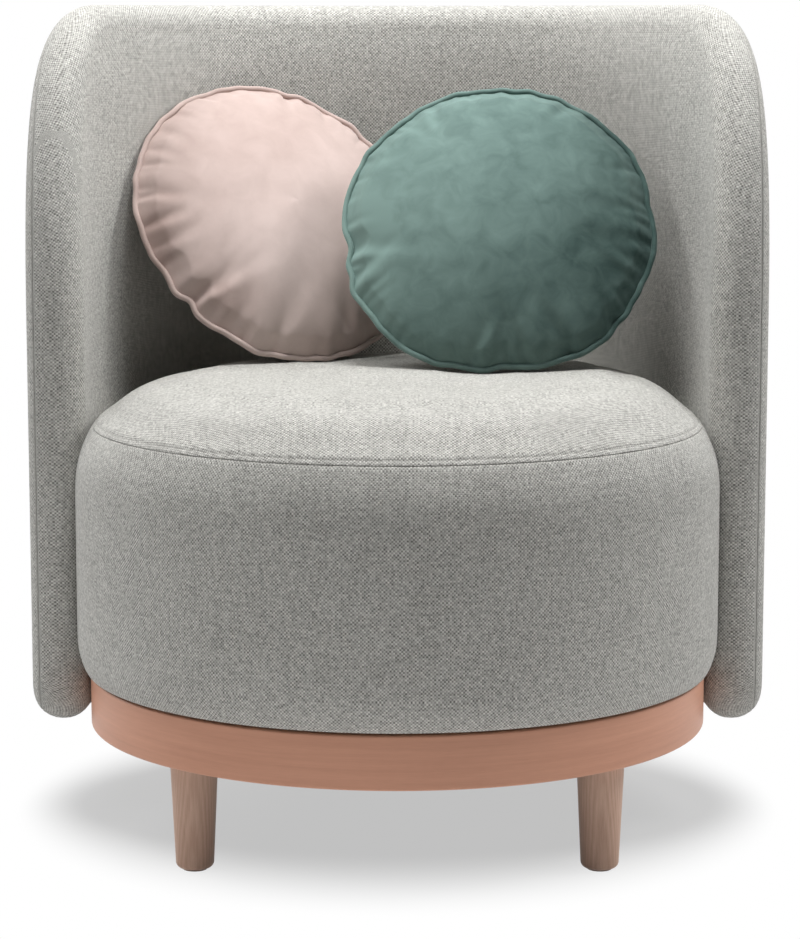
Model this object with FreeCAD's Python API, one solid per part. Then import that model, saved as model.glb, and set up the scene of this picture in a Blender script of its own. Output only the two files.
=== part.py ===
import FreeCAD, Part
import math
import os

# Round slipper chair: a drum seat on a bent-wood plinth with four turned legs, wrapped
# by an upholstered back shell, with two loose round piped cushions on the seat.
# Millimetres, +Z up. The chair faces -Y and stands on z = 0. The functions work about
# the seat's axis, and the export moves that axis so that the plan is centred on the origin.

Vector = FreeCAD.Vector
UP = Vector(0, 0, 1)

# Back shell, upholstered
SHELL_OUTER_R = 375.0
SHELL_THICK = 60.0
SHELL_TOP = 832.0
SHELL_DROP = 5.0  # of its lower edge below the plinth
SHELL_FRONT_Y = -32.0  # front edge, from the seat's axis
TOP_CORNER_DEPTH = 175.0
TOP_CORNER_DROP = 305.0
BOTTOM_CORNER_PART = 0.75  # its radius, as a part of the thickness
EDGE_FLAT = 3.0  # strip left between the two rounds of an edge
SHELL_SEAM_INSET = 9.0  # from the outer face to the seam of the outer panel
SHELL_PLY_T = 12.0
SHELL_PLY_MARGIN = 24.0  # foam beyond the outline of the plywood

# Legs and plinth
LEG_FROM_BAND = 0.5
LEG_TOP_R = 23.5
LEG_FOOT_R = 18.6
LEG_FOOT_ROUND = 6.5
GLIDE_R = 12.0
GLIDE_T = 1.5
GLIDE_NAIL_R = 1.5
GLIDE_NAIL_LENGTH = 18.0
BOARD_T = 18.0  # plywood of the boards and rings
PLINTH_BOTTOM = 107.0
PLINTH_HEIGHT = 53.0
PLINTH_BAND_T = 12.0
PLINTH_EDGE_ROUND = 2.5
PLINTH_TO_SHELL = 1.0
FLOOR_BOARD_RECESS = 5.0
DUST_COVER_T = 1.0
LEG_BLOCK_SIDE = 70.0
PLINTH_RING_WIDTH = 72.0
SEAT_GAP = 3.0  # shadow gap between the plinth and the seat

# Seat, upholstered
SEAT_HEIGHT = 462.0  # top of the crown
SEAT_CROWN_R = 3000.0
SEAT_BULGE = 12.5  # beyond the inner face of the shell
SEAT_TOP_ROUND = 100.0
SEAT_FOOT_ROUND = 58.0
SEAT_OVERHANG = 4.0  # of the foot beyond the plinth
SEAT_SEAM_DROP = 50.0  # of the seam below the crown
SEAT_TO_SHELL = 0.5
COVER_T = 2.0  # fabric with its thin wadding
SEAT_WALL_T = 4.0
SEAT_SIDE_FOAM = 14.5  # between the drum wall and the cover inside the shell
SEAT_FOAM_DEPTH = 122.0  # from the crown to the ring that carries the webbing
SEAT_RING_WIDTH = 68.0
POST_DEPTH = 30.0
POST_WIDTH = 60.0
POST_TO_WALL = 2.0
POST_COUNT = 8

# Webbing under the seat's foam
WEB_WIDTH = 50.0
WEB_T = 2.5
WEB_SPACING = 0.39  # middle to middle, as a part of the ring's inner radius
WEB_PLACES = (-1.5, -0.5, 0.5, 1.5)  # in spacings from the middle
WEB_EDGE = 8.0  # from the rim of the ring to the ends of the straps

# Fasteners
BOLT_R = 4.0
BOLT_HEAD_R = 7.0
BOLT_HEAD_T = 5.0
BOLT_SOCKET_R = 2.9
BOLT_SOCKET_DEPTH = 3.0
BOLT_ROWS = (0.3, 0.75)  # parts of the height of the seat's wall
WASHER_R = 9.0
WASHER_T = 1.6
SLEEVE_R = 11.0
TEE_NUT_R = 5.2
TEE_NUT_LENGTH = 9.0
TEE_FLANGE_R = 11.0
TEE_FLANGE_T = 1.6
HANGER_IN_LEG = 40.0
SCREW_R = 2.2
SCREW_HEAD_R = 4.5
SCREW_HEAD_T = 3.0
SCREW_IN_BOARD = 13.0
SCREW_COUNT = 8

# Clearances
HOLE_CLEARANCE = 0.3
THREAD_CLEARANCE = 0.05
REST_GAP = 0.5  # between a loose cushion and the seat
CUSHION_TO_SHELL = 2.0
CUSHION_PASSING = 5.0  # between the two cushions in plan

# Loose cushions
CUSHION_R = 165.0  # over the piping
CUSHION_HALF_T = 54.0
CUSHION_CROWN_PART = 0.84  # of the half thickness, taken up by the crown
CUSHION_EDGE_R = 62.0
CUSHION_RIM = 2.5  # half height of the edge at the piping
PANEL_T = 1.2
PIPING_R = 3.0

# Places of the cushions, left and right as seen from the front: the turn from facing
# the front, the lean, and what sets the middle of each on the seat
BLUSH_TURN = 29.0
BLUSH_LEAN = 30.0
BLUSH_BEARING = 35.0  # from straight back to the left, against the shell
GREEN_TURN = -2.0
GREEN_LEAN = 30.5
GREEN_RIGHT = 106.0  # from the seat's axis
PASS_BEARING = 44.0  # direction in plan from the first cushion to the second

# Sizes that follow
SHELL_INNER_R = SHELL_OUTER_R - SHELL_THICK
SHELL_MID_R = (SHELL_OUTER_R + SHELL_INNER_R) / 2
BOTTOM_CORNER_R = BOTTOM_CORNER_PART * SHELL_THICK
PLY_INNER_R = SHELL_MID_R - SHELL_PLY_T / 2
PLY_OUTER_R = SHELL_MID_R + SHELL_PLY_T / 2
PLINTH_R = SHELL_INNER_R - PLINTH_TO_SHELL
PLINTH_INNER_R = PLINTH_R - PLINTH_BAND_T
PLINTH_TOP = PLINTH_BOTTOM + PLINTH_HEIGHT
LEG_CIRCLE_R = PLINTH_INNER_R - LEG_FROM_BAND - LEG_TOP_R
SHELL_BOTTOM = PLINTH_BOTTOM - SHELL_DROP
FLOOR_BOTTOM = PLINTH_BOTTOM + FLOOR_BOARD_RECESS
FLOOR_TOP = FLOOR_BOTTOM + BOARD_T
SEAT_BOTTOM = PLINTH_TOP + SEAT_GAP
PLINTH_RING_BOTTOM = SEAT_BOTTOM - BOARD_T
SEAT_R = SHELL_INNER_R + SEAT_BULGE
SEAT_SEAM_Z = SEAT_HEIGHT - SEAT_SEAM_DROP
SEAT_RING_TOP = SEAT_HEIGHT - SEAT_FOAM_DEPTH
SEAT_FOOT_R = PLINTH_R + SEAT_OVERHANG
WALL_R = SHELL_INNER_R - SEAT_TO_SHELL - COVER_T - SEAT_SIDE_FOAM
WALL_INNER_R = WALL_R - SEAT_WALL_T
SEAT_BOARD_TOP = SEAT_BOTTOM + BOARD_T
SEAT_RING_BOTTOM = SEAT_RING_TOP - BOARD_T
SEAT_RING_INNER_R = WALL_R - SEAT_RING_WIDTH
WEB_OFFSETS = tuple(place * WEB_SPACING * SEAT_RING_INNER_R for place in WEB_PLACES)
POST_OUTER = math.sqrt(WALL_INNER_R ** 2 - (POST_WIDTH / 2) ** 2) - POST_TO_WALL
POST_INNER = POST_OUTER - POST_DEPTH
WEB_TOP = SEAT_RING_TOP + 2 * WEB_T + 2 * THREAD_CLEARANCE
AXIS_Y = (SEAT_R - SHELL_OUTER_R) / 2
CUSHION_CROWN_R = CUSHION_R ** 2 / (2 * CUSHION_CROWN_PART * CUSHION_HALF_T)
LEG_NUT_LENGTH = min(TEE_NUT_LENGTH, PLINTH_RING_BOTTOM - FLOOR_TOP - HOLE_CLEARANCE)
BOLT_ANGLES = tuple(360.0 / POST_COUNT * (i + 0.5) for i in (-2, -1, 0, 1))
WALL_HEIGHT = SEAT_RING_BOTTOM - SEAT_BOARD_TOP
BOLT_HEIGHTS = tuple(SEAT_BOARD_TOP + part * WALL_HEIGHT for part in BOLT_ROWS)


def disc(radius, low, high):
    return Part.makeCylinder(radius, high - low, Vector(0, 0, low))


def ring(outer, inner, low, high):
    return disc(outer, low, high).cut(disc(inner, low - 1, high + 1))


def bearing(angle):
    """Level direction at an angle from straight back, positive towards -X."""
    a = math.radians(angle)
    return Vector(-math.sin(a), math.cos(a), 0)


def radial_pin(radius, near, far, angle, height):
    out = bearing(angle)
    return Part.makeCylinder(radius, far - near, out * near + UP * height, out)


def upright_pin(radius, low, high, x, y):
    return Part.makeCylinder(radius, high - low, Vector(x, y, low))


def around(shape, count, first):
    """Copies of a shape at even steps about the seat's axis."""
    copies = []
    for i in range(count):
        copy = shape.copy()
        copy.rotate(Vector(0, 0, 0), UP, first + 360.0 / count * i)
        copies.append(copy)
    return Part.makeCompound(copies)


def revolve(edges):
    face = Part.Face(Part.Wire(edges))
    return Part.makeSolid(Part.Shell(face.revolve(Vector(0, 0, 0), UP, 360).Faces))


def line(a, b):
    return Part.makeLine(Vector(a[0], 0, a[1]), Vector(b[0], 0, b[1]))


def arc(centre, radius, start, end):
    """Edge of a profile in the XZ plane, between two angles in radians."""
    points = []
    for a in (start, (start + end) / 2, end):
        x = centre[0] + radius * math.cos(a)
        z = centre[1] + radius * math.sin(a)
        points.append(Vector(x, 0, z))
    return Part.Arc(*points).toShape()


def polar(centre, radius, angle):
    return (centre[0] + radius * math.cos(angle), centre[1] + radius * math.sin(angle))


# Back shell

def side_outline(inset):
    """Side view of the shell as a face at x = 0, drawn in by an inset."""
    front = SHELL_FRONT_Y + inset
    top = SHELL_TOP - inset
    bottom = SHELL_BOTTOM + inset
    depth = TOP_CORNER_DEPTH - inset
    drop = TOP_CORNER_DROP - inset
    foot = BOTTOM_CORNER_R - inset
    back = SHELL_OUTER_R + 1
    centre = Vector(0, front + depth, top - drop)
    corner = Part.Ellipse(centre + UP * drop, centre - Vector(0, depth, 0), centre)
    corner = Part.ArcOfEllipse(corner, 0, math.pi / 2)
    a = math.radians(45)
    foot_mid = Vector(0, front + foot - foot * math.cos(a), bottom + foot - foot * math.sin(a))
    foot_low = Vector(0, front + foot, bottom)
    foot_high = Vector(0, front, bottom + foot)
    top_back = Vector(0, back, top)
    low_back = Vector(0, back, bottom)
    edges = [
        Part.makeLine(low_back, foot_low),
        Part.Arc(foot_low, foot_mid, foot_high).toShape(),
        Part.makeLine(foot_high, Vector(0, front, top - drop)),
        corner.toShape(),
        Part.makeLine(centre + UP * drop, top_back),
        Part.makeLine(top_back, low_back),
    ]
    return Part.Face(Part.Wire(edges))


def shell_slab(inset, inner, outer):
    """Part of a round wall inside the side view, with square edges."""
    reach = SHELL_OUTER_R + 1
    outline = side_outline(inset)
    outline.translate(Vector(-reach, 0, 0))
    wall = ring(outer, inner, SHELL_BOTTOM - 1, SHELL_TOP + 1)
    wall.rotate(Vector(0, 0, 0), UP, -90)
    return wall.common(outline.extrude(Vector(2 * reach, 0, 0))).Solids[0]


def shell_form(inset):
    """The shell with its edges rounded, drawn in by an inset."""
    inner = SHELL_INNER_R + inset
    outer = SHELL_OUTER_R - inset
    slab = shell_slab(inset, inner, outer)
    edges = []
    for face in slab.Faces:
        if isinstance(face.Surface, Part.Cylinder) and abs(face.Surface.Axis.z) > 0.99:
            edges.extend(face.Edges)
    return slab.makeFillet((outer - inner - EDGE_FLAT) / 2, edges).Solids[0]


def shell_pins(radius, near, far):
    """Pins through the shell and the seat's wall at every bolt."""
    pins = []
    for angle in BOLT_ANGLES:
        for height in BOLT_HEIGHTS:
            pins.append(radial_pin(radius, near, far, angle, height))
    return Part.makeCompound(pins)


def back_ply_shell():
    ply = shell_slab(SHELL_PLY_MARGIN, PLY_INNER_R, PLY_OUTER_R)
    return ply.cut(shell_pins(TEE_NUT_R + THREAD_CLEARANCE, WALL_R, SHELL_OUTER_R))


def back_foam(core, inside):
    """The shell's foam on one side of the middle of its plywood."""
    ply = shell_slab(SHELL_PLY_MARGIN, PLY_INNER_R, PLY_OUTER_R)
    middle = disc(SHELL_MID_R, 0, SHELL_TOP + 1)
    middle.rotate(Vector(0, 0, 0), UP, -90)
    if inside:
        half = core.common(middle)
        holes = shell_pins(SLEEVE_R + HOLE_CLEARANCE, WALL_R, PLY_INNER_R)
    else:
        half = core.cut(middle)
        flange_top = PLY_OUTER_R + TEE_FLANGE_T + HOLE_CLEARANCE
        holes = shell_pins(TEE_FLANGE_R + HOLE_CLEARANCE, SHELL_MID_R, flange_top)
    return half.cut(ply).cut(holes)


def back_cover(skin, core, inside):
    """The shell's fabric on one side of the seam."""
    seam = disc(SHELL_OUTER_R - SHELL_SEAM_INSET, 0, SHELL_TOP + 1)
    seam.rotate(Vector(0, 0, 0), UP, -90)
    cover = skin.cut(core)
    if inside:
        holes = shell_pins(SLEEVE_R + HOLE_CLEARANCE, WALL_R, PLY_INNER_R)
        return cover.common(seam).cut(holes)
    return cover.cut(seam)


# Fasteners of the back shell

def back_bolts():
    head = POST_INNER - WASHER_T - BOLT_HEAD_T
    end = PLY_OUTER_R - 1
    bolts = []
    for angle in BOLT_ANGLES:
        for height in BOLT_HEIGHTS:
            shank = radial_pin(BOLT_R, head + 1, end, angle, height)
            cap = radial_pin(BOLT_HEAD_R, head, head + BOLT_HEAD_T, angle, height)
            key = radial_pin(BOLT_SOCKET_R, head, head + BOLT_SOCKET_DEPTH, angle, height)
            bolts.append(cap.fuse(shank).cut(key).removeSplitter())
    return Part.makeCompound(bolts)


def back_washers():
    near = POST_INNER - WASHER_T
    outer = shell_pins(WASHER_R, near, POST_INNER)
    return outer.cut(shell_pins(BOLT_R + HOLE_CLEARANCE, near - 1, POST_INNER + 1))


def back_sleeves():
    far = math.sqrt(PLY_INNER_R ** 2 - SLEEVE_R ** 2)
    outer = shell_pins(SLEEVE_R, WALL_R, far)
    return outer.cut(shell_pins(BOLT_R + HOLE_CLEARANCE, WALL_R - 1, far + 1))


def back_tee_nuts():
    nuts = []
    for angle in BOLT_ANGLES:
        for height in BOLT_HEIGHTS:
            barrel = radial_pin(TEE_NUT_R, PLY_OUTER_R - TEE_NUT_LENGTH, PLY_OUTER_R + 1, angle, height)
            flange_end = PLY_OUTER_R + TEE_FLANGE_T
            flange = radial_pin(TEE_FLANGE_R, PLY_OUTER_R, flange_end, angle, height)
            bore = radial_pin(BOLT_R + THREAD_CLEARANCE, PLY_INNER_R, SHELL_OUTER_R, angle, height)
            nuts.append(barrel.fuse(flange).cut(bore).removeSplitter())
    return Part.makeCompound(nuts)


# Legs and plinth

def leg_place(side, end):
    return Vector(side, end, 0).normalize() * LEG_CIRCLE_R


def leg_places():
    return [leg_place(side, end) for side in (-1, 1) for end in (-1, 1)]


def leg(place):
    """Turned leg, tapered, with a rounded foot and holes for its glide and hanger bolt."""
    slope = math.atan2(LEG_TOP_R - LEG_FOOT_R, FLOOR_BOTTOM - GLIDE_T)
    centre = (LEG_FOOT_R - LEG_FOOT_ROUND, GLIDE_T + LEG_FOOT_ROUND)
    shoulder = polar(centre, LEG_FOOT_ROUND, -slope)
    edges = [
        line((0, GLIDE_T), (centre[0], GLIDE_T)),
        arc(centre, LEG_FOOT_ROUND, -math.pi / 2, -slope),
        line(shoulder, (LEG_TOP_R, FLOOR_BOTTOM)),
        line((LEG_TOP_R, FLOOR_BOTTOM), (0, FLOOR_BOTTOM)),
        line((0, FLOOR_BOTTOM), (0, GLIDE_T)),
    ]
    turned = revolve(edges)
    nail = disc(GLIDE_NAIL_R + THREAD_CLEARANCE, 0, GLIDE_T + GLIDE_NAIL_LENGTH)
    bolt = disc(BOLT_R + THREAD_CLEARANCE, FLOOR_BOTTOM - HANGER_IN_LEG, FLOOR_BOTTOM + 1)
    turned = turned.cut(nail).cut(bolt)
    turned.translate(place)
    return turned


def leg_glides():
    glides = []
    for place in leg_places():
        foot = disc(GLIDE_R, 0, GLIDE_T)
        foot = foot.makeFillet(GLIDE_T / 3, [foot.Edges[2]])
        nail = disc(GLIDE_NAIL_R, GLIDE_T - 1, GLIDE_T + GLIDE_NAIL_LENGTH - 1)
        glide = foot.fuse(nail).removeSplitter()
        glide.translate(place)
        glides.append(glide)
    return Part.makeCompound(glides)


def leg_hanger_bolts():
    bolts = []
    top = PLINTH_RING_BOTTOM + TEE_FLANGE_T + 2
    for place in leg_places():
        low = FLOOR_BOTTOM - HANGER_IN_LEG + 1
        bolts.append(upright_pin(BOLT_R, low, top, place.x, place.y))
    return Part.makeCompound(bolts)


def leg_tee_nuts():
    nuts = []
    for place in leg_places():
        top = PLINTH_RING_BOTTOM
        barrel = upright_pin(TEE_NUT_R, top - LEG_NUT_LENGTH, top + 1, place.x, place.y)
        flange = upright_pin(TEE_FLANGE_R, top, top + TEE_FLANGE_T, place.x, place.y)
        bore = upright_pin(BOLT_R + THREAD_CLEARANCE, FLOOR_BOTTOM, SEAT_BOTTOM, place.x, place.y)
        nuts.append(barrel.fuse(flange).cut(bore).removeSplitter())
    return Part.makeCompound(nuts)


def leg_holes(radius, low, high):
    return Part.makeCompound([upright_pin(radius, low, high, p.x, p.y) for p in leg_places()])


def plinth_leg_blocks():
    side = LEG_BLOCK_SIDE
    block = Part.makeBox(side, side, PLINTH_RING_BOTTOM - FLOOR_TOP)
    block.translate(Vector(LEG_CIRCLE_R - side / 2, -side / 2, FLOOR_TOP))
    block = block.common(disc(PLINTH_INNER_R, FLOOR_BOTTOM, SEAT_BOTTOM))
    blocks = around(block, 4, 45)
    return blocks.cut(leg_holes(TEE_NUT_R + THREAD_CLEARANCE, FLOOR_BOTTOM, SEAT_BOTTOM))


def plinth_band():
    band = ring(PLINTH_R, PLINTH_INNER_R, PLINTH_BOTTOM, PLINTH_TOP)
    rims = []
    for edge in band.Edges:
        if isinstance(edge.Curve, Part.Circle) and abs(edge.Curve.Radius - PLINTH_R) < 0.01:
            rims.append(edge)
    return band.makeFillet(PLINTH_EDGE_ROUND, rims)


def plinth_floor_board():
    board = disc(PLINTH_INNER_R, FLOOR_BOTTOM, FLOOR_TOP)
    return board.cut(leg_holes(BOLT_R + HOLE_CLEARANCE, FLOOR_BOTTOM - 1, FLOOR_TOP + 1))


def underside_dust_cover():
    sheet = disc(PLINTH_INNER_R - 1, FLOOR_BOTTOM - DUST_COVER_T, FLOOR_BOTTOM)
    return sheet.cut(leg_holes(LEG_TOP_R + HOLE_CLEARANCE, PLINTH_BOTTOM, FLOOR_TOP))


def plinth_screws(radius, low, high):
    place = PLINTH_INNER_R - PLINTH_RING_WIDTH / 2
    return around(upright_pin(radius, low, high, place, 0), SCREW_COUNT, 180.0 / SCREW_COUNT)


def plinth_top_ring():
    inner = PLINTH_INNER_R - PLINTH_RING_WIDTH
    body = ring(PLINTH_INNER_R, inner, PLINTH_RING_BOTTOM, SEAT_BOTTOM)
    body = body.cut(leg_holes(TEE_FLANGE_R + HOLE_CLEARANCE, PLINTH_RING_BOTTOM - 1, SEAT_BOTTOM + 1))
    return body.cut(plinth_screws(SCREW_R + HOLE_CLEARANCE, PLINTH_RING_BOTTOM - 1, SEAT_BOTTOM + 1))


def plinth_to_seat_screws():
    head_low = PLINTH_RING_BOTTOM - SCREW_HEAD_T
    place = PLINTH_INNER_R - PLINTH_RING_WIDTH / 2
    head = upright_pin(SCREW_HEAD_R, head_low, PLINTH_RING_BOTTOM, place, 0)
    shank = upright_pin(SCREW_R, head_low + 1, SEAT_BOTTOM + SCREW_IN_BOARD, place, 0)
    return around(head.fuse(shank).removeSplitter(), SCREW_COUNT, 180.0 / SCREW_COUNT)


# Seat

def seat_profile(inset):
    """Half section of the seat: crown, top round, side, drawn-in foot; drawn in by an inset."""
    crown_r = SEAT_CROWN_R - inset
    top_r = SEAT_TOP_ROUND - inset
    foot_r = SEAT_FOOT_ROUND - inset
    crown_centre = (0, SEAT_HEIGHT - SEAT_CROWN_R)
    top_x = SEAT_R - SEAT_TOP_ROUND
    rise = math.sqrt((SEAT_CROWN_R - SEAT_TOP_ROUND) ** 2 - top_x ** 2)
    top_centre = (top_x, crown_centre[1] + rise)
    join = math.atan2(rise, top_x)
    foot_x = SEAT_R - SEAT_FOOT_ROUND
    foot_drop = math.sqrt(SEAT_FOOT_ROUND ** 2 - (SEAT_FOOT_R - foot_x) ** 2)
    foot_centre = (foot_x, SEAT_BOTTOM + foot_drop)
    foot_angle = -math.asin((foot_drop - inset) / foot_r)
    foot_end = polar(foot_centre, foot_r, foot_angle)
    side_low = polar(foot_centre, foot_r, 0)
    side_high = polar(top_centre, top_r, 0)
    crown_top = (0, SEAT_HEIGHT - inset)
    return [
        line((0, foot_end[1]), foot_end),
        arc(foot_centre, foot_r, foot_angle, 0),
        line(side_low, side_high),
        arc(top_centre, top_r, 0, join),
        arc(crown_centre, crown_r, join, math.pi / 2),
        line(crown_top, (0, foot_end[1])),
    ]


def seat_form(inset):
    """The seat's round form, pressed in where the shell stands against it."""
    form = revolve(seat_profile(inset))
    form.rotate(Vector(0, 0, 0), UP, -90)
    return form.cut(shell_form(-SEAT_TO_SHELL - inset)).Solids[0]


def seat_crown_z(place):
    """Height of the seat's crown over a point of its plan."""
    level = Vector(place.x, place.y, 0).Length
    return SEAT_HEIGHT - SEAT_CROWN_R + math.sqrt(SEAT_CROWN_R ** 2 - level ** 2)


def seat_foam_top(core):
    return core.common(disc(SEAT_R + 1, WEB_TOP, SEAT_HEIGHT + 1))


def seat_foam_side(core):
    frame = disc(WALL_R, 0, SEAT_HEIGHT)
    side = core.cut(frame).common(disc(SEAT_R + 1, 0, WEB_TOP))
    return side.cut(shell_pins(SLEEVE_R + HOLE_CLEARANCE, WALL_INNER_R, SHELL_OUTER_R))


def seat_cover_top(skin, core):
    return skin.cut(core).common(disc(SEAT_R + 1, SEAT_SEAM_Z, SEAT_HEIGHT + 1))


def seat_cover_side(skin, core):
    """The boxing strip, with its hem turned in under the foam to the edge of the base board."""
    side = skin.cut(core).common(disc(SEAT_R + 1, 0, SEAT_SEAM_Z))
    side = side.cut(disc(WALL_R + HOLE_CLEARANCE, 0, SEAT_RING_BOTTOM))
    return side.cut(shell_pins(SLEEVE_R + HOLE_CLEARANCE, WALL_INNER_R, SHELL_OUTER_R))


def seat_base_board():
    board = disc(WALL_R, SEAT_BOTTOM, SEAT_BOARD_TOP)
    end = SEAT_BOTTOM + SCREW_IN_BOARD
    return board.cut(plinth_screws(SCREW_R + THREAD_CLEARANCE, SEAT_BOTTOM - 1, end))


def seat_posts():
    post = Part.makeBox(POST_DEPTH, POST_WIDTH, WALL_HEIGHT)
    post.translate(Vector(POST_INNER, -POST_WIDTH / 2, SEAT_BOARD_TOP))
    posts = around(post, POST_COUNT, 180.0 / POST_COUNT)
    return posts.cut(shell_pins(BOLT_R + HOLE_CLEARANCE, POST_INNER - 1, WALL_R))


def seat_drum_wall():
    wall = ring(WALL_R, WALL_INNER_R, SEAT_BOARD_TOP, SEAT_RING_BOTTOM)
    return wall.cut(shell_pins(BOLT_R + HOLE_CLEARANCE, POST_INNER - 1, SHELL_OUTER_R))


def seat_top_ring():
    return ring(WALL_R, SEAT_RING_INNER_R, SEAT_RING_BOTTOM, SEAT_RING_TOP)


def strap_half_length(offset):
    return math.sqrt((WALL_R - WEB_EDGE) ** 2 - (abs(offset) + WEB_WIDTH / 2) ** 2)


def webbing_front_to_back():
    straps = []
    for offset in WEB_OFFSETS:
        half = strap_half_length(offset)
        corner = Vector(offset - WEB_WIDTH / 2, -half, SEAT_RING_TOP)
        straps.append(Part.makeBox(WEB_WIDTH, 2 * half, WEB_T, corner))
    return Part.makeCompound(straps)


def webbing_side_to_side():
    """Straps over the lower ones, with their ends brought down onto the ring."""
    straps = []
    low = SEAT_RING_TOP
    high = SEAT_RING_TOP + WEB_T + THREAD_CLEARANCE
    over = max(WEB_OFFSETS) + WEB_WIDTH / 2 + WEB_T
    for offset in WEB_OFFSETS:
        half = strap_half_length(offset)
        onto = math.sqrt(SEAT_RING_INNER_R ** 2 - (abs(offset) - WEB_WIDTH / 2) ** 2)
        under = [(-half, low), (-onto, low), (-over, high), (over, high), (onto, low), (half, low)]
        upper = [(x, z + WEB_T) for x, z in reversed(under)]
        y = offset - WEB_WIDTH / 2
        points = [Vector(x, y, z) for x, z in under + upper + under[:1]]
        strap = Part.Face(Part.makePolygon(points))
        straps.append(strap.extrude(Vector(0, WEB_WIDTH, 0)))
    return Part.makeCompound(straps)


# Loose cushions

def cushion_profile(inset):
    """Half section of a cushion: crown, fuller edge and the rim at the piping, both sides."""
    rim_x = CUSHION_R - 2 * PIPING_R - THREAD_CLEARANCE
    crown_z = CUSHION_HALF_T - CUSHION_CROWN_R
    reach = math.hypot(rim_x, CUSHION_RIM - crown_z)
    spread = CUSHION_CROWN_R - CUSHION_EDGE_R
    turn = (reach ** 2 + spread ** 2 - CUSHION_EDGE_R ** 2) / (2 * reach * spread)
    join = math.atan2(CUSHION_RIM - crown_z, rim_x) + math.acos(turn)
    centre = polar((0, crown_z), spread, join)
    end = math.atan2(CUSHION_RIM - centre[1], rim_x - centre[0])
    edge_r = CUSHION_EDGE_R - inset
    crown_r = CUSHION_CROWN_R - inset
    rim = polar(centre, edge_r, end)
    below = (centre[0], -centre[1])
    top = CUSHION_HALF_T - inset
    return [
        arc((0, -crown_z), crown_r, -math.pi / 2, -join),
        arc(below, edge_r, -join, -end),
        line((rim[0], -rim[1]), rim),
        arc(centre, edge_r, end, join),
        arc((0, crown_z), crown_r, join, math.pi / 2),
        line((0, top), (0, -top)),
    ]


def cushion_axes(turn, lean):
    """Directions of a cushion: across to the right, up its face, and out of its face."""
    a = math.radians(turn)
    b = math.radians(lean)
    right = Vector(math.cos(a), math.sin(a), 0)
    up = Vector(-math.sin(a) * math.sin(b), math.cos(a) * math.sin(b), math.cos(b))
    return right, up, right.cross(up)


def cushion_reach(axes):
    """Level offsets from a cushion's middle to points all over its skin and piping."""
    right, up, front = axes
    cord = CUSHION_R - PIPING_R
    section = [(CUSHION_R, 0), (cord, PIPING_R), (cord, -PIPING_R)]
    for edge in cushion_profile(0):
        section.extend((point.x, point.z) for point in edge.discretize(10))
    offsets = []
    for radius, height in section:
        for step in range(48):
            a = math.radians(7.5 * step)
            offset = right * (radius * math.cos(a)) + up * (radius * math.sin(a)) + front * height
            offsets.append(Vector(offset.x, offset.y, 0))
    return offsets


def against_shell(axes, angle):
    """Middle of a cushion pushed back along a bearing until it meets the shell."""
    out = bearing(angle)
    room = SHELL_INNER_R - CUSHION_TO_SHELL
    ways = []
    for offset in cushion_reach(axes):
        along = out.dot(offset)
        ways.append(math.sqrt(along ** 2 - offset.Length ** 2 + room ** 2) - along)
    return out * min(ways)


def past_other(axes, x, other_axes, other_middle):
    """Middle of a cushion that can be lifted past another one, at a given x."""
    a = math.radians(PASS_BEARING)
    way = Vector(math.sin(a), -math.cos(a), 0)
    far = max(way.dot(other_middle + offset) for offset in cushion_reach(other_axes))
    near = min(way.dot(offset) for offset in cushion_reach(axes))
    return Vector(x, (far + CUSHION_PASSING - near - x * way.x) / way.y, 0)


def on_seat(axes, middle, lean):
    """Placement with the piping over the seat's crown by the rest gap."""
    cord = CUSHION_R - PIPING_R
    foot = seat_crown_z(middle - axes[1] * cord)
    height = foot + REST_GAP + PIPING_R + cord * math.cos(math.radians(lean))
    turned = FreeCAD.Rotation(axes[0], axes[1], axes[2], "ZXY")
    return FreeCAD.Placement(Vector(middle.x, middle.y, height), turned)


def cushion(name, placement):
    filling = revolve(cushion_profile(PANEL_T))
    panels = revolve(cushion_profile(0)).cut(filling)
    upper = disc(CUSHION_R, 0, CUSHION_HALF_T + 1)
    pieces = {
        "filling": filling,
        "front_panel": panels.common(upper),
        "back_panel": panels.cut(upper),
        "piping": Part.makeTorus(CUSHION_R - PIPING_R, PIPING_R),
    }
    placed = {}
    for piece, shape in pieces.items():
        shape.Placement = placement.multiply(shape.Placement)
        placed[name + "_" + piece] = shape
    return placed


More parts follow.
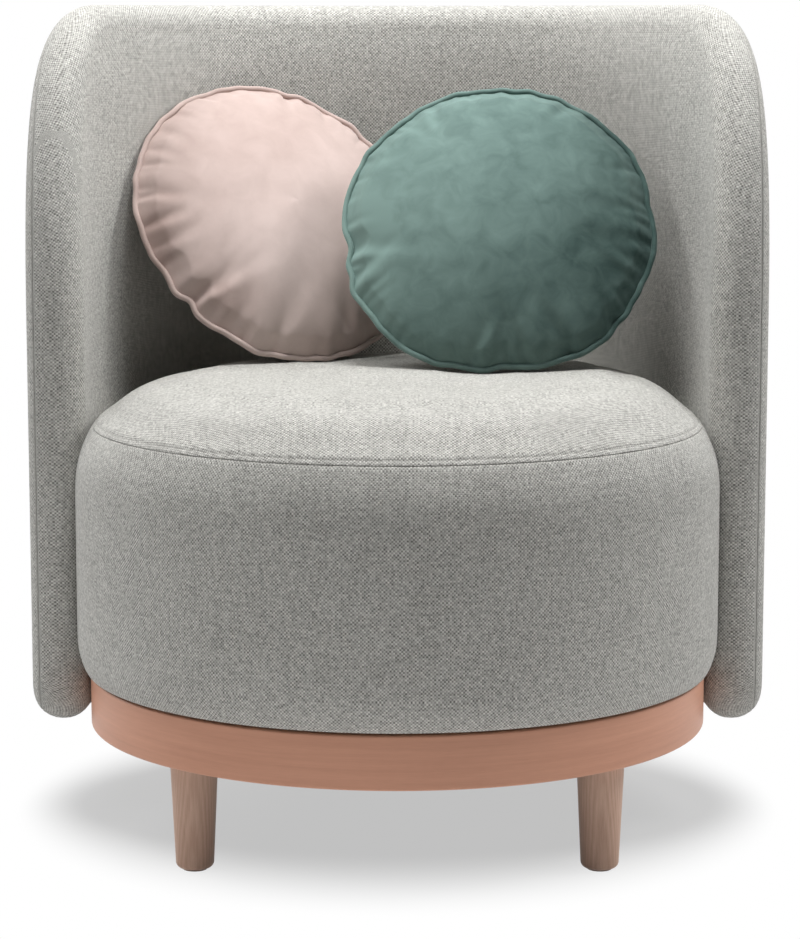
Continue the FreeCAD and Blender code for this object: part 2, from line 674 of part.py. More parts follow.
def build():
    nodes = {}
    for side, side_name in ((-1, "left"), (1, "right")):
        for end, end_name in ((-1, "front"), (1, "rear")):
            nodes["leg_" + end_name + "_" + side_name] = leg(leg_place(side, end))
    nodes["leg_glides"] = leg_glides()
    nodes["leg_hanger_bolts"] = leg_hanger_bolts()
    nodes["leg_tee_nuts"] = leg_tee_nuts()
    nodes["plinth_band"] = plinth_band()
    nodes["plinth_floor_board"] = plinth_floor_board()
    nodes["plinth_leg_blocks"] = plinth_leg_blocks()
    nodes["plinth_top_ring"] = plinth_top_ring()
    nodes["plinth_to_seat_screws"] = plinth_to_seat_screws()
    nodes["underside_dust_cover"] = underside_dust_cover()

    seat_skin = seat_form(0)
    seat_core = seat_form(COVER_T)
    nodes["seat_base_board"] = seat_base_board()
    nodes["seat_posts"] = seat_posts()
    nodes["seat_drum_wall"] = seat_drum_wall()
    nodes["seat_top_ring"] = seat_top_ring()
    nodes["webbing_front_to_back"] = webbing_front_to_back()
    nodes["webbing_side_to_side"] = webbing_side_to_side()
    nodes["seat_foam_side"] = seat_foam_side(seat_core)
    nodes["seat_foam_top"] = seat_foam_top(seat_core)
    nodes["seat_cover_side"] = seat_cover_side(seat_skin, seat_core)
    nodes["seat_cover_top"] = seat_cover_top(seat_skin, seat_core)

    shell_skin = shell_form(0)
    shell_core = shell_form(COVER_T)
    nodes["back_ply_shell"] = back_ply_shell()
    nodes["back_foam_inner"] = back_foam(shell_core, True)
    nodes["back_foam_outer"] = back_foam(shell_core, False)
    nodes["back_cover_inner"] = back_cover(shell_skin, shell_core, True)
    nodes["back_cover_outer"] = back_cover(shell_skin, shell_core, False)
    nodes["back_bolts"] = back_bolts()
    nodes["back_washers"] = back_washers()
    nodes["back_spacer_sleeves"] = back_sleeves()
    nodes["back_tee_nuts"] = back_tee_nuts()

    blush_axes = cushion_axes(BLUSH_TURN, BLUSH_LEAN)
    green_axes = cushion_axes(GREEN_TURN, GREEN_LEAN)
    blush_middle = against_shell(blush_axes, BLUSH_BEARING)
    green_middle = past_other(green_axes, GREEN_RIGHT, blush_axes, blush_middle)
    nodes.update(cushion("blush_cushion", on_seat(blush_axes, blush_middle, BLUSH_LEAN)))
    nodes.update(cushion("green_cushion", on_seat(green_axes, green_middle, GREEN_LEAN)))
    return nodes


os.makedirs("parts", exist_ok=True)
for node, shape in build().items():
    shape.translate(Vector(0, AXIS_Y, 0))
    shape.exportStep("parts/" + node + ".step")
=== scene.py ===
import math
import random

import bpy
import numpy as np
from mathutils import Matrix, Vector, noise


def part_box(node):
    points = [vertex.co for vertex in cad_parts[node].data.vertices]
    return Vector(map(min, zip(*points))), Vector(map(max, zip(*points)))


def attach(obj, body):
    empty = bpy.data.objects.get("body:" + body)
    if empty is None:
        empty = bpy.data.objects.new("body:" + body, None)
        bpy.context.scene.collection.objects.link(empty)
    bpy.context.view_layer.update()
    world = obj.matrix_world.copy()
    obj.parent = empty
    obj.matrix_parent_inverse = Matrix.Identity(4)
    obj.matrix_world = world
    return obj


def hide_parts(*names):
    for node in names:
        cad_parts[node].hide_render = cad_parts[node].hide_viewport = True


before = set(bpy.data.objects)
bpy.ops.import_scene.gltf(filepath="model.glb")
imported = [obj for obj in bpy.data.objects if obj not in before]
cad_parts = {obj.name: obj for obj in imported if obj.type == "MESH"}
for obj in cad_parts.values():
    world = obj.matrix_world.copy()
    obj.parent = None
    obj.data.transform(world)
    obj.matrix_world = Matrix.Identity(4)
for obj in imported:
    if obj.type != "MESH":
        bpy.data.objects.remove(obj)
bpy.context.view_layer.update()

# Sizes in metres. Radii and depths are from the upright axis through the round seat.
AXIS_Y = -0.02375
SHELL_OUTER_R = 0.375
SHELL_INNER_R = 0.315
SHELL_TOP = 0.832
SHELL_BOTTOM = 0.102
SHELL_FRONT = -0.032
TOP_CORNER_DEPTH = 0.175
TOP_CORNER_DROP = 0.305
BOTTOM_CORNER_R = 0.045
EDGE_ROUND = 0.0285
SHELL_SEAM_R = 0.366
PLY_INNER_R = 0.339
PLY_OUTER_R = 0.351
PLY_EDGE = 0.006  # past the middle of the edge round, just clear of the plywood
INNER_LINING_R = PLY_INNER_R - 0.0005
EDGE_LINING_R = PLY_OUTER_R + 0.001
OUTER_LINING_R = PLY_OUTER_R + 0.0025
SEAT_R = 0.3275
SEAT_HEIGHT = 0.462
SEAT_CROWN_R = 3.0
SEAT_TOP_ROUND = 0.1
SEAT_FOOT_ROUND = 0.058
SEAT_FOOT_R = 0.318
SEAT_BOTTOM = 0.163
SEAT_SEAM_Z = 0.412
SEAT_CLEAR_OF_SHELL = 0.0006
DRUM_WALL_R = 0.298
SEAT_STEPS = 240
SEAT_NET_R = 0.18
STITCHES = 560
STITCH_SIZE = (0.0012, 0.0005, 0.0005)
STITCH_DEPTH = 0.0007
CUSHION_R = 0.165
CUSHION_CROWN = 0.054
PIPING_R = 0.003
PLINTH_R = 0.314
DUST_CLOTH_R = 0.301
DUST_CLOTH_Z = 0.1115
DUST_CLOTH_SAG = 0.0022
DUST_CLOTH_THICKNESS = 0.0008
RIPPLE_DEPTH = 0.0003
RIPPLE_SIZE = 0.05
RIPPLE_START = Vector((21.9, 9.3, 17.1))
STAPLES = 36
STAPLE_R = 0.2935
STAPLE_Z = 0.1107
STAPLE_LENGTH = 0.01
STAPLE_WIRE_R = 0.0004
LEG_SPREAD = 0.19658
LEG_HOLE_R = 0.0238


# Working with pieces

def mode(name):
    bpy.ops.object.mode_set(mode=name)


def edit(kind, action):
    """Goes into edit mode, with every point or edge chosen, or none."""
    mode("EDIT")
    bpy.ops.mesh.select_mode(type=kind)
    bpy.ops.mesh.select_all(action=action)


def let_go():
    """Leaves every object unselected."""
    if bpy.context.mode != "OBJECT":
        mode("OBJECT")
    bpy.ops.object.select_all(action="DESELECT")


def take(piece):
    let_go()
    piece.select_set(True)
    bpy.context.view_layer.objects.active = piece


def settle():
    """Writes an object's place, turn and size into its mesh."""
    bpy.ops.object.transform_apply(location=True, rotation=True, scale=True)


def tuned(thing, **settings):
    for name, value in settings.items():
        setattr(thing, name, value)
    return thing


def added(name, data):
    """A new object in the scene."""
    made = bpy.data.objects.new(name, data)
    bpy.context.scene.collection.objects.link(made)
    return made


def applied(piece, kind, **settings):
    """Gives a piece a modifier and applies it."""
    take(piece)
    modifier = tuned(piece.modifiers.new(kind.lower(), kind), **settings)
    bpy.ops.object.modifier_apply(modifier=modifier.name)


def weighted(piece, name, weights):
    """Names a group of a piece's points, with a weight for each."""
    group = piece.vertex_groups.new(name=name)
    for i, weight in enumerate(weights):
        group.add([i], float(weight), "REPLACE")
    return group.name


def named(name):
    """Names the object that an operator has just made."""
    piece = bpy.context.object
    piece.name = name
    piece.data.name = name
    return piece


def read(items, name, kind=float, width=1):
    """A value of each item, such as each point."""
    values = np.empty(len(items) * width, kind)
    items.foreach_get(name, values)
    return values


def places(piece):
    return read(piece.data.vertices, "co", width=3).reshape(-1, 3)


def move_to(piece, co):
    piece.data.vertices.foreach_set("co", np.asarray(co, float).ravel())
    piece.data.update()


def directions(piece):
    """Normal of each point."""
    return read(piece.data.vertices, "normal", width=3).reshape(-1, 3)


def merge_points(piece, distance):
    take(piece)
    mode("EDIT")
    bpy.ops.mesh.select_all(action="SELECT")
    bpy.ops.mesh.remove_doubles(threshold=distance)
    bpy.ops.mesh.normals_make_consistent(inside=False)
    mode("OBJECT")


def subdivided(piece):
    applied(piece, "SUBSURF", levels=1, render_levels=1)


def smooth(piece):
    take(piece)
    bpy.ops.object.shade_smooth()


def spun(name, section, steps):
    """Turns a section of (radius, height) points about the seat's axis, starting at the back."""
    let_go()
    bpy.ops.mesh.primitive_plane_add(size=0.01, location=(0, 0, 0))
    piece = named(name)
    edit("VERT", "SELECT")
    bpy.ops.mesh.merge(type="CENTER")
    points = [Vector((0, AXIS_Y + r, z)) for r, z in section]
    bpy.ops.transform.translate(value=points[0])
    for a, b in zip(points, points[1:]):
        bpy.ops.mesh.extrude_vertices_move(TRANSFORM_OT_translate={"value": b - a})
    bpy.ops.mesh.select_all(action="SELECT")
    bpy.ops.mesh.spin(steps=steps, angle=2 * math.pi, center=(0, AXIS_Y, 0), axis=(0, 0, 1))
    mode("OBJECT")
    merge_points(piece, 1e-5)
    return piece


def copied(name, nodes):
    """One new mesh from copies of CAD nodes, with its points merged."""
    let_go()
    for node in nodes:
        copy = added(name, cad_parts[node].data.copy())
        copy.select_set(True)
        bpy.context.view_layer.objects.active = copy
    if len(nodes) > 1:
        bpy.ops.object.join()
    piece = named(name)
    piece.data.materials.clear()
    merge_points(piece, 1e-5)
    return piece


def swell(piece, held, push, cap, loose=None, spare=0.0, bend=0.5, frames=20):
    """Blows a cover up from inside as cloth, with spare cloth where it is loose. Held points stay."""
    before = places(piece)
    take(piece)
    pins = piece.vertex_groups.new(name="held")
    pins.add([int(i) for i in np.nonzero(held)[0]], 1.0, "REPLACE")
    cloth = piece.modifiers.new("cloth", "CLOTH")
    fabric = tuned(cloth.settings, quality=6, mass=0.3, tension_stiffness=15, compression_stiffness=15,
                   shear_stiffness=8, bending_stiffness=bend, use_pressure=True, uniform_pressure_force=push,
                   vertex_group_mass=pins.name)
    if loose is not None:
        fabric.vertex_group_shrink = weighted(piece, "loose", loose)
        fabric.shrink_max = -spare
    fabric.effector_weights.gravity = 0
    cloth.collision_settings.use_collision = False
    cloth.point_cache.frame_start = 1
    cloth.point_cache.frame_end = frames
    for step in range(1, frames + 1):
        bpy.context.scene.frame_set(step)
    bpy.ops.object.modifier_apply(modifier=cloth.name)
    bpy.context.scene.frame_set(1)
    piece.vertex_groups.clear()
    way = places(piece) - before
    far = np.linalg.norm(way, axis=1)
    move_to(piece, before + way * (np.minimum(far, cap) / np.maximum(far, 1e-9))[:, None])


def calm(piece, weights):
    """Smooths a cover where it is stretched tight."""
    applied(piece, "SMOOTH", vertex_group=weighted(piece, "tight", weights), factor=0.5, iterations=40)
    piece.vertex_groups.clear()


def eased(value, low, high):
    """0 up to one value and 1 from another, with a smooth step between them."""
    part = np.clip((value - low) / (high - low), 0, 1)
    return part ** 2 * (3 - 2 * part)


def lay_cloth(piece, on_cloth):
    """Writes where each point lies on the flat cloth, in metres, as the map for the weave."""
    sheet = piece.data.uv_layers.new(name="weave")
    index = read(piece.data.loops, "vertex_index", int)
    sheet.data.foreach_set("uv", np.asarray(on_cloth, float)[index].ravel())


# Seat

LAP = 0.0055
# Lapped seam of the seat, as (way down along the cloth from the stitches, height of the surface)
TOP_HEM = ((-0.005, 0.0), (-0.0025, 0.0), (-0.001, -0.0002), (0.0, -0.0006), (0.001, -0.0002), (0.0024, 0.0001),
           (0.004, 0.0002), (0.0051, 0.0001), (0.0057, -0.0002), (0.00585, -0.0006), (0.005, -0.0016))
SIDE_HEM = ((0.0048, -0.0024), (0.0059, -0.0009), (0.0064, -0.0003), (0.0078, 0.0), (0.0115, 0.0))
HEM_START = 0.012
# Hidden sides of the two pads, as (radius, height)
TOP_PAD_INSIDE = ((0.3, 0.4075), (DRUM_WALL_R - 0.0015, 0.405), (DRUM_WALL_R - 0.0015, 0.3465), (0.25, 0.3465))
SIDE_PAD_INSIDE = ((DRUM_WALL_R + 0.0005, SEAT_BOTTOM + 0.0005), (DRUM_WALL_R + 0.0005, 0.28),
                   (DRUM_WALL_R + 0.0005, 0.401), (0.3015, 0.4055))
SIDE_PAD_FOOT = ((SEAT_FOOT_R - 0.0012, SEAT_BOTTOM - 0.0002), (SEAT_FOOT_R - 0.004, SEAT_BOTTOM))
# How far each pad is drawn in before it is blown up, the pressure, and how far a point may move
TOP_DRAW_IN = 0.001
SIDE_DRAW_IN = 0.0006
PAD_PRESSURE = 3.0
PAD_CAP = 0.003
# The seat's top past its plain section: the most, where it rises and falls, and where the right gets twice as much
FULLNESS = 0.004
FULL_RISE = (0.1, 0.23)
FULL_FALL = (0.24, 0.3015)
FULL_RIGHT = (0.08, 0.2)
# Dish under a cushion's piping: gap, reach and how open it is
DISH_GAP = 0.0003
DISH_REACH = 0.05
DISH_OPEN = 0.7


def seat_section():
    """Middle height of the crown, middle of the edge round, and the angles of their join and of the stitches."""
    crown_z = SEAT_HEIGHT - SEAT_CROWN_R
    top_x = SEAT_R - SEAT_TOP_ROUND
    rise = math.sqrt((SEAT_CROWN_R - SEAT_TOP_ROUND) ** 2 - top_x ** 2)
    round_mid = (top_x, crown_z + rise)
    seam = math.asin((SEAT_SEAM_Z - round_mid[1]) / SEAT_TOP_ROUND)
    return crown_z, round_mid, math.atan2(rise, top_x), seam + LAP / SEAT_TOP_ROUND


def on_round(centre, radius, angle, height=0.0):
    """A point at a height over a round, as (radius, height)."""
    return (centre[0] + (radius + height) * math.cos(angle), centre[1] + (radius + height) * math.sin(angle))


def from_axis(co):
    return np.hypot(co[:, 0], co[:, 1] - AXIS_Y)


def lengths(line):
    """How far along a line each of its points lies."""
    return np.concatenate(([0], np.cumsum(np.hypot(*np.diff(np.array(line), axis=0).T))))


def seat_top_pad():
    crown_z, round_mid, join, stitches = seat_section()
    section = []
    for r in np.linspace(SEAT_NET_R, SEAT_CROWN_R * math.cos(join), 6):
        section.append((r, crown_z + math.sqrt(SEAT_CROWN_R ** 2 - r ** 2)))
    for step in range(1, 8):
        a = join + (stitches + HEM_START / SEAT_TOP_ROUND - join) * step / 7
        section.append(on_round(round_mid, SEAT_TOP_ROUND, a))
    free = len(section)
    for down, height in TOP_HEM:
        section.append(on_round(round_mid, SEAT_TOP_ROUND, stitches - down / SEAT_TOP_ROUND, height))
    section += TOP_PAD_INSIDE
    piece = spun("seat_top_pad", section, SEAT_STEPS)
    for height in (section[0][1], section[-1][1]):
        fill_ring(piece, height)
    co = places(piece)
    r = from_axis(co)
    net = (r < SEAT_NET_R) & (co[:, 2] > SEAT_SEAM_Z)
    co[net, 2] = crown_z + np.sqrt(SEAT_CROWN_R ** 2 - r[net] ** 2)
    move_to(piece, co)
    along = lengths([(0.0, SEAT_HEIGHT)] + section)
    way = way_along(piece, section, along[1:])
    way[net] = r[net]
    return piece, way, way > along[free + 1] - 1e-6


def fill_ring(piece, height):
    """Fills an open ring at a height with a net of squares."""
    take(piece)
    edit("EDGE", "DESELECT")
    mode("OBJECT")
    sides = {}
    for face in piece.data.polygons:
        for key in face.edge_keys:
            sides[key] = sides.get(key, 0) + 1
    co = places(piece)
    for edge in piece.data.edges:
        edge.select = bool(sides.get(edge.key) == 1 and abs(co[list(edge.key), 2] - height).max() < 1e-5)
    mode("EDIT")
    bpy.ops.mesh.fill_grid(span=SEAT_STEPS // 4, offset=0)
    mode("OBJECT")
    merge_points(piece, 1e-5)


def seat_side_pad():
    _, round_mid, _, stitches = seat_section()
    foot_x = SEAT_R - SEAT_FOOT_ROUND
    foot_drop = math.sqrt(SEAT_FOOT_ROUND ** 2 - (SEAT_FOOT_R - foot_x) ** 2)
    foot_mid = (foot_x, SEAT_BOTTOM + foot_drop)
    foot_end = -math.asin(foot_drop / SEAT_FOOT_ROUND)
    section = list(SIDE_PAD_INSIDE)
    for down, height in SIDE_HEM:
        section.append(on_round(round_mid, SEAT_TOP_ROUND, stitches - down / SEAT_TOP_ROUND, height))
    start = stitches - SIDE_HEM[-1][0] / SEAT_TOP_ROUND
    for step in range(1, 6):
        section.append(on_round(round_mid, SEAT_TOP_ROUND, start * (1 - step / 5)))
    for step in range(1, 15):
        section.append((SEAT_R, round_mid[1] + (foot_mid[1] - round_mid[1]) * step / 14))
    for step in range(1, 7):
        section.append(on_round(foot_mid, SEAT_FOOT_ROUND, foot_end * step / 6))
    section += SIDE_PAD_FOOT
    section.append(section[0])
    piece = spun("seat_side_pad", section, SEAT_STEPS)
    along = lengths(section)
    way = way_along(piece, section, along)
    lap_end = along[len(SIDE_PAD_INSIDE) + len(SIDE_HEM) - 1]
    foot = along[len(section) - 5]
    return piece, way, (way < lap_end + 1e-6) | (way > foot - 1e-6)


def way_along(piece, section, along):
    """How far along the section each point of a spun piece lies."""
    co = places(piece)
    line = np.array(section)
    near = np.empty(len(co), int)
    for i, (x, z) in enumerate(zip(from_axis(co), co[:, 2])):
        near[i] = np.argmin((line[:, 0] - x) ** 2 + (line[:, 1] - z) ** 2)
    return along[near]


def clear_of_shell(co):
    """Presses the seat's cover in where the shell stands round it."""
    co = co.copy()
    x = co[:, 0]
    y = co[:, 1] - AXIS_Y
    r = np.hypot(x, y)
    angle = np.arctan2(y, np.abs(x))
    middle_r = SHELL_INNER_R + EDGE_ROUND
    middle_y = SHELL_FRONT + EDGE_ROUND
    middle_angle = math.asin(middle_y / middle_r)
    limit = np.full(len(co), 1.0)
    limit[angle >= middle_angle] = SHELL_INNER_R - SEAT_CLEAR_OF_SHELL
    front = angle < middle_angle
    along = middle_r * np.cos(angle - middle_angle)
    reach = (EDGE_ROUND + SEAT_CLEAR_OF_SHELL) ** 2 - middle_r ** 2 + along ** 2
    meets = front & (reach > 0)
    limit[meets] = along[meets] - np.sqrt(reach[meets])
    scale = np.where(r > limit, limit / np.maximum(r, 1e-9), 1.0)
    co[:, 0] = x * scale
    co[:, 1] = AXIS_Y + y * scale
    return co


def fill_shoulder(co):
    """Raises the seat's top a little between its middle and the seam, where the padding is fullest."""
    r = from_axis(co)
    fall = np.clip((r - FULL_FALL[0]) / (FULL_FALL[1] - FULL_FALL[0]), 0, 1)
    lift = FULLNESS * eased(r, *FULL_RISE) * (1 - fall ** 2) * (1 + eased(co[:, 0], *FULL_RIGHT))
    co = co.copy()
    co[:, 2] += np.where(co[:, 2] > SEAT_SEAM_Z, lift, 0)
    return co


def make_seat():
    pads = []
    for make, draw_in in ((seat_top_pad, TOP_DRAW_IN), (seat_side_pad, SIDE_DRAW_IN)):
        piece, way, held = make()
        move_to(piece, places(piece) - directions(piece) * np.where(held, 0, draw_in)[:, None])
        swell(piece, held, PAD_PRESSURE, PAD_CAP)
        measure = piece.data.attributes.new("way", "FLOAT", "POINT")
        measure.data.foreach_set("value", way)
        subdivided(piece)
        if make is seat_top_pad:
            move_to(piece, fill_shoulder(places(piece)))
        move_to(piece, clear_of_shell(places(piece)))
        way = read(piece.data.attributes["way"].data, "value")
        co = places(piece)
        turn = np.arctan2(co[:, 0], -(co[:, 1] - AXIS_Y))
        if make is seat_top_pad:
            lay_cloth(piece, np.stack((way * np.sin(turn), -way * np.cos(turn)), axis=1))
        else:
            lay_cloth(piece, np.stack((turn * SEAT_R, -way), axis=1))
            close_wrap(piece, 2 * math.pi * SEAT_R)
        smooth(piece)
        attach(piece, "chair")
        pads.append(piece)
    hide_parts("seat_cover_top", "seat_foam_top")
    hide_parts("seat_cover_side", "seat_foam_side")
    return pads


def press(pad, cord):
    """Dishes the seat's top where a cushion's piping rests on it."""
    co = places(pad)
    line = places(cord)
    foot = line[np.argmin(line[:, 2])]
    off = np.hypot(co[:, 0] - foot[0], co[:, 1] - foot[1])
    dish = foot[2] - DISH_GAP + off ** 2 / DISH_OPEN
    under = (off < DISH_REACH) & (co[:, 2] > SEAT_SEAM_Z)
    co[under, 2] = np.minimum(co[under, 2], dish[under])
    move_to(pad, co)


def close_wrap(piece, length):
    """Keeps a face of a wrapped strip from running back across the whole map."""
    sheet = piece.data.uv_layers["weave"].data
    for face in piece.data.polygons:
        us = [sheet[i].uv[0] for i in face.loop_indices]
        if max(us) - min(us) > length / 2:
            for i in face.loop_indices:
                if sheet[i].uv[0] < 0:
                    sheet[i].uv[0] += length


# Back shell

SHELL_COLUMNS = 128
BOTTOM_ROWS = 8
SIDE_ROWS = 44
CORNER_ROWS = 46
ROLL_DEPTH = 0.006
ROLL_LENGTH = 0.032
# The cover's fold into the seam: where it starts, and then (angle from the seam, depth)
FOLD_START = 0.1
FOLD = ((0.035, 0.00005), (0.016, 0.0004), (0.005, 0.0011), (0.0, 0.003))


def front_edge():
    """Side view of the shell's front edge, bottom to top: points and outward normals, as depth and height."""
    points, normals = [], []
    mid = (SHELL_FRONT + BOTTOM_CORNER_R, SHELL_BOTTOM + BOTTOM_CORNER_R)
    for step in range(BOTTOM_ROWS):
        a = math.pi / 2 * step / BOTTOM_ROWS
        points.append((mid[0] - BOTTOM_CORNER_R * math.sin(a), mid[1] - BOTTOM_CORNER_R * math.cos(a)))
        normals.append((-math.sin(a), -math.cos(a)))
    corner = (SHELL_FRONT + TOP_CORNER_DEPTH, SHELL_TOP - TOP_CORNER_DROP)
    for step in range(SIDE_ROWS):
        points.append((SHELL_FRONT, mid[1] + (corner[1] - mid[1]) * step / SIDE_ROWS))
        normals.append((-1.0, 0.0))
    fine = np.linspace(0, math.pi / 2, 400)
    way = lengths(np.stack((corner[0] - TOP_CORNER_DEPTH * np.cos(fine),
                            corner[1] + TOP_CORNER_DROP * np.sin(fine)), axis=1))
    for step in range(CORNER_ROWS + 1):
        a = np.interp(way[-1] * step / CORNER_ROWS, way, fine)
        points.append((corner[0] - TOP_CORNER_DEPTH * math.cos(a), corner[1] + TOP_CORNER_DROP * math.sin(a)))
        slope = Vector((-math.cos(a) / TOP_CORNER_DEPTH, math.sin(a) / TOP_CORNER_DROP)).normalized()
        normals.append(tuple(slope))
    return np.array(points), np.array(normals)


def level_way(turn):
    return np.stack((np.cos(turn), np.sin(turn), np.zeros(len(turn))), axis=1)


class ShellRim:
    """Stations round the rim of the shell, and the rings that its rounded edge passes through."""

    def __init__(self, inside):
        self.inside = inside
        self.face_r = SHELL_INNER_R if inside else SHELL_OUTER_R
        self.ball_r = SHELL_INNER_R + EDGE_ROUND if inside else SHELL_OUTER_R - EDGE_ROUND
        points, normals = front_edge()
        balls = points - EDGE_ROUND * normals
        turn = np.arcsin(balls[:, 0] / self.ball_r)
        rows, columns = len(points), SHELL_COLUMNS + 1
        across = np.linspace(0, 1, columns)
        self.rows = rows
        self.grid = np.empty((rows, columns, 2))
        even = np.linspace(balls[0, 1], balls[-1, 1], rows)
        side = np.abs(2 * across - 1) ** 3
        for j in range(rows):
            self.grid[j, :, 0] = turn[j] + (math.pi - 2 * turn[j]) * across
            self.grid[j, :, 1] = balls[j, 1] * side + even[j] * (1 - side)
        out = np.zeros((rows, columns, 3))
        out[:, 0, 1:] = normals
        out[:, -1, 1:] = normals
        out[0, 1:-1, 2] = -1
        out[-1, 1:-1, 2] = 1
        self.out = out.reshape(-1, 3)
        edge = np.zeros((rows, columns), bool)
        edge[0] = edge[-1] = True
        edge[:, 0] = edge[:, -1] = True
        self.edge = edge.ravel()
        self.roll = self.soft_roll() if inside else np.zeros(rows * columns)

    def soft_roll(self):
        """How far the padding falls away from the face towards the top edge."""
        flat = self.grid.reshape(-1, 2) * (self.face_r, 1.0)
        depth = ROLL_DEPTH * np.clip(self.out[:, 2], 0, 1) ** 0.7
        fall = np.zeros(len(flat))
        for place, most in zip(flat[self.edge], depth[self.edge]):
            if most > 0:
                fall = np.maximum(fall, most * np.exp(-np.hypot(*(flat - place).T) / ROLL_LENGTH))
        return fall

    def face(self, radius):
        """The stations on a round wall of a given radius."""
        turn, height = self.grid.reshape(-1, 2).T
        return np.stack((radius * np.cos(turn), AXIS_Y + radius * np.sin(turn), height), axis=1)

    def level(self):
        """The level way out from the axis at each station."""
        return level_way(self.grid[..., 0].ravel())

    def ways(self):
        """At each station, the way out of the face and the way out across the edge."""
        level = self.level()
        face = -level if self.inside else level
        side = self.out - face * np.sum(self.out * face, axis=1)[:, None]
        return face, side / np.maximum(np.linalg.norm(side, axis=1), 1e-9)[:, None]

    def ring(self, angle, depth):
        """Points on the rounded edge, at an angle from the face's normal, at a depth under it."""
        face, side = self.ways()
        ball = self.face(self.ball_r) - face * (self.roll * math.cos(angle))[:, None]
        return ball + (EDGE_ROUND - depth) * (face * math.cos(angle) + side * math.sin(angle))

    def beside(self, radius, out):
        """Points at a radius, a way out across the edge from the stations."""
        return self.face(radius) + self.ways()[1] * out


def shell_grid(name, rim, co):
    """A net with a point at each station of the rim."""
    let_go()
    bpy.ops.mesh.primitive_grid_add(x_subdivisions=SHELL_COLUMNS, y_subdivisions=rim.rows - 1, size=1)
    piece = named(name)
    move_to(piece, co)
    return piece


def shell_pad(name, inside):
    """One side of the shell: a grid over its face, the rounded edge to the seam, and a hidden back."""
    rim, outer = ShellRim(inside), ShellRim(False)
    piece = shell_grid(name, rim, rim.face(rim.face_r) + rim.level() * rim.roll[:, None])
    station = piece.data.attributes.new("station", "INT", "POINT")
    station.data.foreach_set("value", np.arange(len(piece.data.vertices)))
    seam = math.acos((SHELL_SEAM_R - outer.ball_r) / EDGE_ROUND)
    if inside:
        rings = [(rim.ring, a, 0.0) for a in np.linspace(0, math.pi / 2, 9)[1:]]
        rings += [(outer.ring, a, 0.0) for a in np.linspace(math.pi / 2, seam + FOLD_START, 4)]
        rings += [(outer.ring, seam + away, depth) for away, depth in FOLD]
        rings += [(outer.beside, radius, PLY_EDGE) for radius in (EDGE_LINING_R, INNER_LINING_R)]
        back = INNER_LINING_R
    else:
        rings = [(rim.ring, a, 0.0) for a in np.linspace(0, seam - FOLD_START, 6)[1:]]
        rings += [(rim.ring, seam - away, depth) for away, depth in FOLD]
        back = OUTER_LINING_R
    for draw, along, depth in rings:
        edit("EDGE", "DESELECT")
        bpy.ops.mesh.select_non_manifold(extend=False, use_wire=False, use_boundary=True, use_multi_face=False,
                                         use_non_contiguous=False, use_verts=False)
        bpy.ops.mesh.extrude_region_move()
        mode("OBJECT")
        chosen = read(piece.data.vertices, "select", bool)
        index = read(piece.data.attributes["station"].data, "value", int)
        co = places(piece)
        line = draw(along, depth)
        co[chosen] = line[index[chosen]]
        move_to(piece, co)
    hidden = outer.face(back)
    hidden[outer.edge] = line[outer.edge]
    shell_grid(name + "_lining", rim, hidden).select_set(True)
    piece.select_set(True)
    bpy.context.view_layer.objects.active = piece
    bpy.ops.object.join()
    merge_points(piece, 1e-6)
    return piece


def shell_cloth(piece, inside):
    """Where each point of a shell's side lies on the flat cloth, from its place and the way it faces."""
    co = places(piece)
    normal = directions(piece)
    turn = np.arctan2(co[:, 1] - AXIS_Y, co[:, 0])
    face = -level_way(turn) if inside else level_way(turn)
    lean = np.arccos(np.clip(np.sum(normal * face, axis=1), -1, 1))
    flow = np.stack((normal[:, 1] * np.cos(turn) - normal[:, 0] * np.sin(turn), normal[:, 2]), axis=1)
    flow /= np.maximum(np.linalg.norm(flow, axis=1), 1e-6)[:, None]
    face_r = SHELL_INNER_R if inside else SHELL_OUTER_R
    flat = np.stack(((turn - math.pi / 2) * face_r, co[:, 2]), axis=1)
    return flat + flow * (EDGE_ROUND * (lean - np.sin(lean)))[:, None]


def make_back():
    made = []
    for name, inside, nodes in (("back_inner_pad", True, ("back_cover_inner", "back_foam_inner")),
                                ("back_outer_pad", False, ("back_cover_outer", "back_foam_outer"))):
        piece = shell_pad(name, inside)
        lay_cloth(piece, shell_cloth(piece, inside))
        smooth(piece)
        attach(piece, "chair")
        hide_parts(*nodes)
        made.append(piece)
    return made


# Stitches, dust cloth and staples

def repeated_round(piece, count):
    """Repeats a piece round the seat's axis, as one smooth object."""
    take(piece)
    settle()
    bpy.context.scene.cursor.location = (0, AXIS_Y, 0)
    bpy.ops.object.origin_set(type="ORIGIN_CURSOR")
    bpy.ops.object.empty_add(location=(0, AXIS_Y, 0), rotation=(0, 0, 2 * math.pi / count))
    step = bpy.context.object
    applied(piece, "ARRAY", count=count, use_relative_offset=False, use_object_offset=True, offset_object=step)
    bpy.data.objects.remove(step)
    settle()
    smooth(piece)


def seat_stitches():
    """Top-stitching along the lapped seam of the seat."""
    _, round_mid, _, stitches = seat_section()
    r, z = on_round(round_mid, SEAT_TOP_ROUND, stitches, -STITCH_DEPTH)
    let_go()
    bpy.ops.mesh.primitive_uv_sphere_add(segments=8, ring_count=5, radius=1, location=(0, AXIS_Y - r, z),
                                         scale=STITCH_SIZE)
    piece = named("seat_stitches")
    repeated_round(piece, STITCHES)
    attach(piece, "chair")
    return piece


def staples():
    """Wire staples along the edge of the dust cloth."""
    let_go()
    bpy.ops.mesh.primitive_cylinder_add(vertices=8, radius=STAPLE_WIRE_R, depth=STAPLE_LENGTH,
                                        rotation=(0, math.pi / 2, 0), location=(0, AXIS_Y - STAPLE_R, STAPLE_Z))
    piece = named("dust_cloth_staples")
    repeated_round(piece, STAPLES)
    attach(piece, "chair")
    return piece


